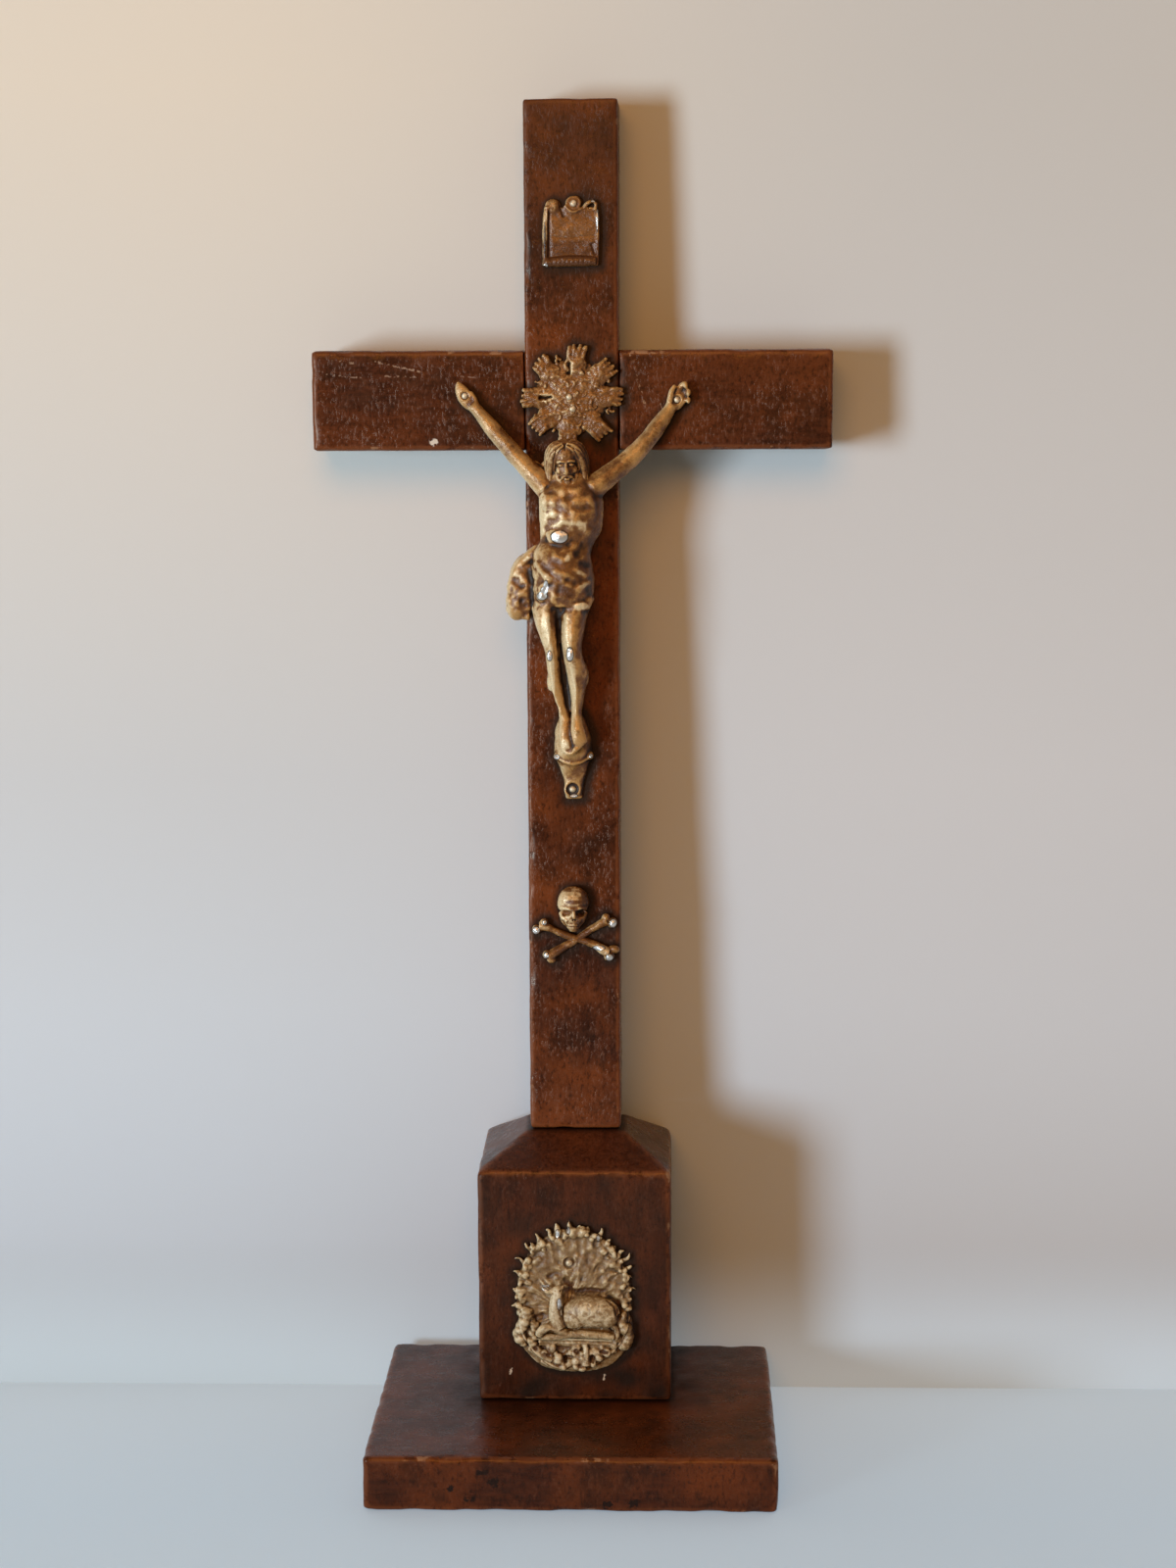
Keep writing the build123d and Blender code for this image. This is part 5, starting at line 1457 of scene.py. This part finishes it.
def addBook(bm, chance):  # sealed book on broken ground
    for up, forward, half in ((-11.8, 2.2, 11.6), (-12.9, 1.9, 11.2), (-13.8, 1.6, 10.8)):
        addSlab(bm, (0.6, forward - 1.4, up), (half, 1.9, 0.32), 1.6)
    addSlab(bm, (0.6, 0.2, -12.8), (11.0, 1.9, 1.3), 1.6)
    addLimb(bm, [(3.4, 2.0, -13.4, 0.9), (3.7, 2.4, -16.0, 1.1), (3.5, 2.2, -19.6, 1.5)], 3, 12)
    for _ in range(64):
        x, up = chance.uniform(-12.6, 12.6), chance.uniform(-21.0, -14.4)
        if (x / 15.5) ** 2 + (up / 21.6) ** 2 < 1:
            size = chance.uniform(0.7, 1.5)
            addMass(
                bm, (x, 1.4 + chance.uniform(0, 1.0), up),
                (size, 1.2, size * chance.uniform(0.7, 1.5)), chance.uniform(-80, 80),
            )
    for line in (
        [(-13.6, 1.8, -14.6, 0.9), (-10.4, 2.2, -16.4, 1.0), (-6.6, 2.2, -18.2, 0.9)],
        [(-9.8, 1.9, -18.4, 0.8), (-6.0, 2.2, -20.2, 0.9), (-2.6, 2.0, -20.6, 0.8)],
        [(6.4, 2.0, -15.4, 0.9), (9.6, 2.0, -16.0, 0.9), (12.6, 1.7, -15.4, 0.8)],
    ):
        addLimb(bm, line, 3, 10)


def makeMedallion():
    settings = medallionShape
    chance = random.Random(settings["seed"])
    wide, tall = settings["half"]
    bm = bmesh.new()
    addMass(bm, (0, 0.0, 0.4), (wide + 0.6, 2.1, tall - 0.3))
    addLimb(bm, [  # lower plate
        (0, 0.2, -tall, 4.5, 1.0), (0.3, 0.2, -20.8, 10.2, 1.2), (0.4, 0.2, -16.0, 15.2, 1.3),
        (0.2, 0.2, -10.8, 17.8, 1.5), (0.3, 0.2, -5.6, 17.0, 1.6), (0, 0.2, 0, 16.4, 1.6),
    ], 3, 32, level=True)
    for x, up, size in settings["spikes"]:
        tip = Vector((x, up))
        rim = tip / math.hypot(x / wide, up / tall)
        tip = rim + (tip - rim) * chance.uniform(0.4, 0.95)
        bent = Vector((-rim.y, rim.x)).normalized() * chance.uniform(-0.5, 0.5)
        rows = [
            (*(rim * 0.94), 1.1 * size), (*rim, size),
            (*(rim * 0.4 + tip * 0.6 - bent), 0.55 * size), (*(tip + bent), 0.15),
        ]
        addLimb(
            bm,
            [(across, 0.3 + 0.25 * index, level, width) for index, (across, level, width) in enumerate(rows)],
            2, 9,
        )
    for x, up, size in settings["knobs"]:
        addMass(bm, (x, 1.0, up), (size, 0.9, size))
    for index in range(46):  # lumps along the rim
        angle = math.radians(-8 + 196 * index / 45 + chance.uniform(-3, 3))
        reach, size = chance.uniform(0.82, 0.97), chance.uniform(0.5, 1.5)
        place = (
            reach * wide * math.cos(angle), chance.uniform(0.6, 1.2), 0.4 + reach * tall * math.sin(angle)
        )
        addMass(bm, place, (size, 0.8, size * chance.uniform(0.6, 1.4)), chance.uniform(-60, 60))
    for side, low, high in ((-1, -13.4, -3.4), (1, -13.6, -4.8)):  # clouds
        for index in range(8):
            share = index / 7
            across = side * (15.2 + 1.2 * math.sin(share * 5))
            size = chance.uniform(1.3, 2.2)
            place = (across, 1.0 + chance.uniform(0, 0.8), low + (high - low) * share)
            addMass(bm, place, (size, 1.8, size * 0.9))
            inner = side * (12.2 + chance.uniform(-0.8, 0.8))
            size = chance.uniform(0.9, 1.6)
            addMass(bm, (inner, 1.5, low + (high - low) * share * 0.8), (size, 1.5, size * 0.9))
    addLamb(bm)
    addBook(bm, chance)
    mesh = castSkin(bm, "medallion", settings["voxel"], 3)
    places, normals = readSurface(mesh)
    domed = np.clip(1 - (places[:, 0] / (wide + 0.6)) ** 2 - ((places[:, 2] - 0.4) / (tall - 0.3)) ** 2, 0, 1)
    field = 2.0 * (domed ** 0.25 - domed ** 0.5)  # flat, with a full rim
    places[:, 1] -= field * easeStep(-places[:, 1], 0.1, 0.5)
    for line, width, depth in settings["cuts"]:
        stroke(places, normals, line, width, depth)
    glory = np.array(settings["glory"])
    across, up = places[:, 0] - glory[0], places[:, 2] - glory[1]
    reach = np.hypot(across, up)
    unrolled = np.column_stack((13 * np.arctan2(up, across), np.zeros(len(places)), 0.28 * reach))
    ground = easeStep(places[:, 1], -2.9, -2.3) * easeStep(places[:, 2], -9.0, -6.0)
    rays = 0.24 * noiseAt(unrolled, 1.1, 55.0) + 0.3 * noiseAt(places, 2.2, 57.0)
    places += normals * (ground * rays)[:, None]
    writePlaces(mesh, places)
    finishCasting(mesh, settings)
    return mesh


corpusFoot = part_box("corpus")[0] / mm
nimbusLow, nimbusHigh = (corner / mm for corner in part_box("nimbus"))
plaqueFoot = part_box("titulus_plaque")[0] / mm
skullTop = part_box("skull_and_crossbones")[1] / mm
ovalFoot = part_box("lamb_medallion")[0] / mm
plaqueMiddle = plaqueFoot.z + plaqueShape["half"][1]
ovalMiddle = ovalFoot.z + medallionShape["half"][1]
castingPlaces = {
    "corpus": Vector((0, 0, corpusFoot.z)),
    "nimbus": (nimbusLow + nimbusHigh) / 2,
    "titulus_plaque": Vector((0, 0, plaqueMiddle)),
    "skull_and_crossbones": Vector((skullShape["shift"], 0, skullTop.z - skullShape["rise"])),
    "lamb_medallion": Vector((medallionShape["shift"], 0, ovalMiddle)),
}
castings = {
    "corpus": (makeFigure(), postFront, "bronzed_tin", bronzedTin),
    "nimbus": (makeNimbus(), postFront, "bronzed_tin", bronzedTin),
    "titulus_plaque": (makePlaque(), postFront, "bronzed_tin", bronzedTin),
    "skull_and_crossbones": (makeSkull(), postFront, "bronzed_tin", bronzedTin),
    "lamb_medallion": (makeMedallion(), blockFront, "pale_tin", paleTin),
}
contactPoints = []
for node, (mesh, face, slot, finish) in castings.items():
    setOnWood(mesh, face, castingPlaces[node])
    places = readVectors(mesh, "place") / mm
    contactPoints.append(places[places[:, 1] > face - wornWood["contactDepth"]])
    addPiece(mesh, node + "_cast", node, finish)
# moved to the right and down, so the painted shade round the castings falls on their shadow side
castingPoints = np.concatenate(contactPoints) + np.array(wornWood["dirtAndShadeShift"])
print("castings ready")

barMiddle = (mmLow["bar"].z + mmHigh["bar"].z) / 2
barMarks = [  # start and end across and above the middle of the bar, half width and breaks
    ((-57.5, 11.4), (-44.0, 8.3), 0.32, 0.45, (0.30, 0.19, 0.13)),
    ((-72.8, 7.8), (-59.9, 6.6), 0.28, 0.48, (0.27, 0.17, 0.12)),
    ((-54.7, 7.2), (-45.5, 6.9), 0.25, 0.5, (0.26, 0.16, 0.11)),
    ((-32.5, 7.1), (-26.2, 6.5), 0.22, 0.5, (0.24, 0.14, 0.1)),
    ((-70.5, 11.6), (-64.0, 11.0), 0.28, 0.5, (0.28, 0.18, 0.12)),
    ((-40.9, -12.2), (-40.1, -12.0), 0.8, 0.2, (0.72, 0.64, 0.54)),
    ((16.3, 15.9), (22.0, -3.4), 0.3, 0.52, (0.3, 0.17, 0.1)),
    ((25.0, 1.5), (26.6, -3.0), 0.22, 0.45, (0.3, 0.19, 0.13)),
]
darkSpot, paleSpot = (0.014, 0.0045, 0.003), (0.6, 0.48, 0.36)
blockMarks = [
    ((-19.1, -22.0), (-19.7, -23.4), 0.4, 0.2, paleSpot), ((8.9, -24.0), (8.5, -25.2), 0.36, 0.2, paleSpot),
]
baseMarks = [  # across and up, on the front of the foot
    ((-25.4, 11.8), (-24.6, 11.6), 1.3, 0.2, darkSpot), ((-22.8, 8.8), (-21.4, 8.9), 1.5, 0.2, darkSpot),
    ((9.8, 2.4), (11.2, 2.6), 1.2, 0.2, darkSpot), ((17.2, 2.9), (18.8, 3.0), 1.3, 0.2, darkSpot),
    ((-34.6, 7.1), (-33.9, 7.0), 1.0, 0.2, darkSpot), ((-30.0, 4.0), (-27.0, 4.2), 0.8, 0.4, darkSpot),
]


def faceMarks(marks, face, middle):  # from places on a front to lines in the frame
    return [
        (
            (x0 * mm, face * mm, (middle + z0) * mm),
            (x1 * mm, face * mm, (middle + z1) * mm), width * mm, breaks, tint,
        )
        for (x0, z0), (x1, z1), width, breaks, tint in marks
    ]


upGrain = (1.0, 1.0, 0.2)
sideGrain = (0.2, 1.0, 1.0)
woodFinishes = {
    "base_plate": makeWood("stainedFoot", sideGrain, 0.7, 0.6, faceMarks(baseMarks, mmLow["base"].y, 0)),
    "pedestal_block": makeWood(
        "stainedPedestal", upGrain, 0.3, 0.5, faceMarks(blockMarks, blockFront, ovalMiddle)
    ),
    "upright_post": makeWood("stainedPost", upGrain, 0.78, 1.0),
    "crossbar": makeWood("stainedBar", sideGrain, 0.42, 1.0, faceMarks(barMarks, postFront, barMiddle)),
}
halved = ("upright_post", "crossbar")  # let into each other, with a clean joint


def darkeningRoundFoot(places, low, high):  # darker on a top round the foot of what stands there
    away = np.hypot(
        np.maximum(np.maximum(low.x - places[:, 0], places[:, 0] - high.x), 0),
        np.maximum(np.maximum(low.y - places[:, 1], places[:, 1] - high.y), 0),
    )
    patchy = 0.5 + 0.5 * noiseAt(places, 9.0, 71.0)
    return wornWood["ringDarkening"] * (1 - easeStep(away, 0.0, wornWood["ringDarkeningReach"])) * patchy


for node, mesh in woodMeshes.items():
    away = halved if node in halved else (node,)
    others = [readVectors(other, "place") for label, other in woodMeshes.items() if label not in away]
    around = np.concatenate(others + [castingPoints])
    places = readVectors(mesh, "place")
    # darker round the castings and along the joints: dirt, with painted contact shade round the castings on
    # their shadow side
    grime_and_shade = 1 - easeStep(nearest(places, around, wornWood["grimeAndShadeReach"]), 0.4, wornWood["grimeAndShadeReach"])
    if node == "base_plate":
        grime_and_shade = np.maximum(grime_and_shade, darkeningRoundFoot(places, mmLow["block"], mmHigh["block"]))
    if node == "pedestal_block":
        # darker towards the bottom of the block
        foot = 1 - easeStep(places[:, 2] - mmLow["block"].z, 0.0, wornWood["footReach"])
        patchy = 0.5 + 0.5 * noiseAt(places, 8.0, 73.0)
        # the upright sides darker than the sloped top: partly a darker stain, partly painted shade
        upright = np.abs(readVectors(mesh, "normal")[:, 2]) < 0.3
        grime_and_shade = np.maximum(grime_and_shade, (wornWood["footDarkening"] * foot + wornWood["uprightStainAndShade"] * upright) * patchy)
    if node == "upright_post":
        head = easeStep(places[:, 2], *wornWood["headHeights"])
        patchy = 0.7 + 0.3 * noiseAt(places, 9.0, 75.0)
        grime_and_shade = np.maximum(grime_and_shade, wornWood["headDirt"] * head * patchy)
    writeMark(mesh, "grime_and_shade", grime_and_shade)
    mesh.transform(Matrix.Scale(mm, 4))
    addPiece(mesh, node + "_wood", node, woodFinishes[node])

for node in ("titulus_nail", "nimbus_nails", "hand_nails", "foot_nail", "medallion_nail"):
    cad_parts[node].data.materials.clear()
    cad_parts[node].data.materials.append(pinMetal)
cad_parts["base_screws"].data.materials.clear()
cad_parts["base_screws"].data.materials.append(screwSteel)
print("metal pieces ready")


# Stage, light and camera

stageSettings = {
    "halfWidth": 3.0,
    "floorFront": -0.4,
    "wallFoot": 0.0544,  # the board behind leans against the back of the pedestal and the top of the post
    "wallLean": 0.0518,
    "wallHeight": 2.4,
    "floorTone": (0.5, 0.58, 0.62),
    "floorGlow": (0.205, 0.276, 0.348),  # seen by camera and mirror rays only
    "backGlow": (0.246, 0.292, 0.337),
    "footGlow": (0.15, 0.19, 0.22),
    "footGlowHeight": 0.05,
    # painted light on the backdrop: its tone is graded by height and side, warm and light high on the left
    # and cooler lower down, standing in for how the light falls on it
    "toneHeights": (0.0, 0.05, 0.2, 0.41),
    "leftTones": [(0.53, 0.63, 0.7), (0.66, 0.75, 0.85), (0.66, 0.69, 0.715), (0.82, 0.755, 0.645)],
    "rightTones": [(0.63, 0.73, 0.83), (0.65, 0.685, 0.735), (0.695, 0.71, 0.735), (0.65, 0.65, 0.63)],
    "toneSides": (-0.13, 0.13),
}


def seenDirectly(tree):
    path = addNode(tree, "ShaderNodeLightPath")
    return calc(tree, "MAXIMUM", path.outputs["Is Camera Ray"], path.outputs["Is Glossy Ray"])


def makeFloorMaterial():
    material, tree = startMaterial("paleFloor")
    shader = addNode(tree, "ShaderNodeBsdfPrincipled")
    shader.inputs["Base Color"].default_value = (*stageSettings["floorTone"], 1)
    shader.inputs["Roughness"].default_value = 0.85
    spot = addNode(tree, "ShaderNodeSeparateXYZ")
    feed(tree, spot.inputs["Vector"], addNode(tree, "ShaderNodeTexCoord").outputs["Object"])
    back = ease(tree, spot.outputs["Y"], -0.06, stageSettings["wallFoot"])
    glow = blendColour(tree, back, (*stageSettings["floorGlow"], 1), (*stageSettings["backGlow"], 1))
    feed(tree, shader.inputs["Emission Color"], glow)
    feed(tree, shader.inputs["Emission Strength"], seenDirectly(tree))
    return surfaced(material, shader)


def toneRamp(tree, height, tones):
    ramp = addNode(tree, "ShaderNodeValToRGB")
    stops = ramp.color_ramp.elements
    while len(stops) < len(tones):
        stops.new(1.0)
    top = stageSettings["toneHeights"][-1]
    for stop, level, tone in zip(stops, stageSettings["toneHeights"], tones):
        stop.position = level / top
        stop.color = (*tone, 1)
    feed(tree, ramp.inputs["Fac"], calc(tree, "DIVIDE", height, top))
    return ramp.outputs["Color"]


def makeWallMaterial():  # seen from the front only, and it lets lamp light through
    material, tree = startMaterial("paleBackdrop")
    spot = addNode(tree, "ShaderNodeSeparateXYZ")
    feed(tree, spot.inputs["Vector"], addNode(tree, "ShaderNodeTexCoord").outputs["Object"])
    across = ease(tree, spot.outputs["X"], *stageSettings["toneSides"])
    leftTone = toneRamp(tree, spot.outputs["Z"], stageSettings["leftTones"])
    rightTone = toneRamp(tree, spot.outputs["Z"], stageSettings["rightTones"])
    shader = addNode(tree, "ShaderNodeBsdfPrincipled")
    feed(tree, shader.inputs["Base Color"], blendColour(tree, across, leftTone, rightTone))
    shader.inputs["Roughness"].default_value = 0.85
    shader.inputs["Emission Color"].default_value = (*stageSettings["footGlow"], 1)
    low = ease(tree, spot.outputs["Z"], stageSettings["footGlowHeight"], 0.0)
    feed(tree, shader.inputs["Emission Strength"], calc(tree, "MULTIPLY", low, seenDirectly(tree)))
    clear = addNode(tree, "ShaderNodeBsdfTransparent")
    behind = addNode(tree, "ShaderNodeNewGeometry").outputs["Backfacing"]
    lamp = addNode(tree, "ShaderNodeLightPath").outputs["Is Shadow Ray"]
    mix = addNode(tree, "ShaderNodeMixShader")
    feed(tree, mix.inputs["Fac"], calc(tree, "MAXIMUM", behind, lamp))
    tree.links.new(shader.outputs["BSDF"], mix.inputs[1])
    tree.links.new(clear.outputs["BSDF"], mix.inputs[2])
    return surfaced(material, mix)


def makeSheet(name, start, run, material):  # a flat sheet, full width, facing up or to the front
    half = stageSettings["halfWidth"]
    bm = bmesh.new()
    edge = bm.edges.new((bm.verts.new((half, *start)), bm.verts.new((-half, *start))))
    raised = bmesh.ops.extrude_edge_only(bm, edges=[edge])["geom"]
    moved = [part for part in raised if isinstance(part, bmesh.types.BMVert)]
    bmesh.ops.translate(bm, vec=(0, *run), verts=moved)
    bm.normal_update()
    if bm.faces[:][0].normal.z - bm.faces[:][0].normal.y < 0:
        bmesh.ops.reverse_faces(bm, faces=bm.faces)
    sheet = bpy.data.objects.new(name, newMesh(bm, name))
    sheet.data.materials.append(material)
    bpy.context.scene.collection.objects.link(sheet)


def makeStage():
    foot, front = stageSettings["wallFoot"], stageSettings["floorFront"]
    height = stageSettings["wallHeight"]
    makeSheet("floor", (foot, 0), (front - foot, 0), makeFloorMaterial())
    makeSheet("backdrop", (foot, 0), (-stageSettings["wallLean"] * height, height), makeWallMaterial())


makeStage()

lightSettings = {
    "key": {
        "place": (-1.8, -1.98, 0.05), "width": 0.62, "height": 1.0,
        "power": 58.0, "colour": (0.706, 0.871, 1.0),
    },
    "lamp": {
        "place": (-0.1, -1.6, 1.0), "width": 1.0, "height": 0.8, "power": 9.4, "colour": (1.0, 0.42, 0.08),
    },
    "aim": (0.0, 0.0, 0.2),
    "world": (0.17, 0.15, 0.11),
}


def addLamp(name, settings, aim):
    data = bpy.data.lights.new(name, "AREA")
    data.shape = "ELLIPSE"
    data.size = settings["width"]
    data.size_y = settings["height"]
    data.energy = settings["power"]
    data.color = settings["colour"]
    lamp = bpy.data.objects.new(name, data)
    lamp.location = settings["place"]
    lamp.rotation_euler = (Vector(aim) - Vector(settings["place"])).to_track_quat("-Z", "Y").to_euler()
    bpy.context.scene.collection.objects.link(lamp)


for lampName in ("key", "lamp"):
    addLamp(lampName, lightSettings[lampName], lightSettings["aim"])
world = bpy.data.worlds.new("room")
world.use_nodes = True
world.node_tree.nodes["Background"].inputs["Color"].default_value = (*lightSettings["world"], 1)
world.node_tree.nodes["Background"].inputs["Strength"].default_value = 1.0
bpy.context.scene.world = world

cameraSettings = {
    "place": (0.028487, -0.803886, 0.317558),
    "right": (0.999568744, 0.0290200167, -0.00449057358),
    "down": (-0.000392344, -0.139709, -0.9901925),
    "lens": 63.54,
    "sensor": 36.0,
}
cameraData = bpy.data.cameras.new("camera")
cameraData.lens = cameraSettings["lens"]
cameraData.sensor_width = cameraSettings["sensor"]
cameraData.sensor_fit = "AUTO"
camera = bpy.data.objects.new("camera", cameraData)
rightAxis = Vector(cameraSettings["right"])
upAxis = -Vector(cameraSettings["down"])
camera.matrix_world = Matrix.Translation(cameraSettings["place"]) @ Matrix(
    (rightAxis, upAxis, rightAxis.cross(upAxis))
).transposed().to_4x4()
bpy.context.scene.collection.objects.link(camera)
bpy.context.scene.camera = camera
bpy.context.scene.view_settings.view_transform = "Standard"
print("stage, light and camera ready")
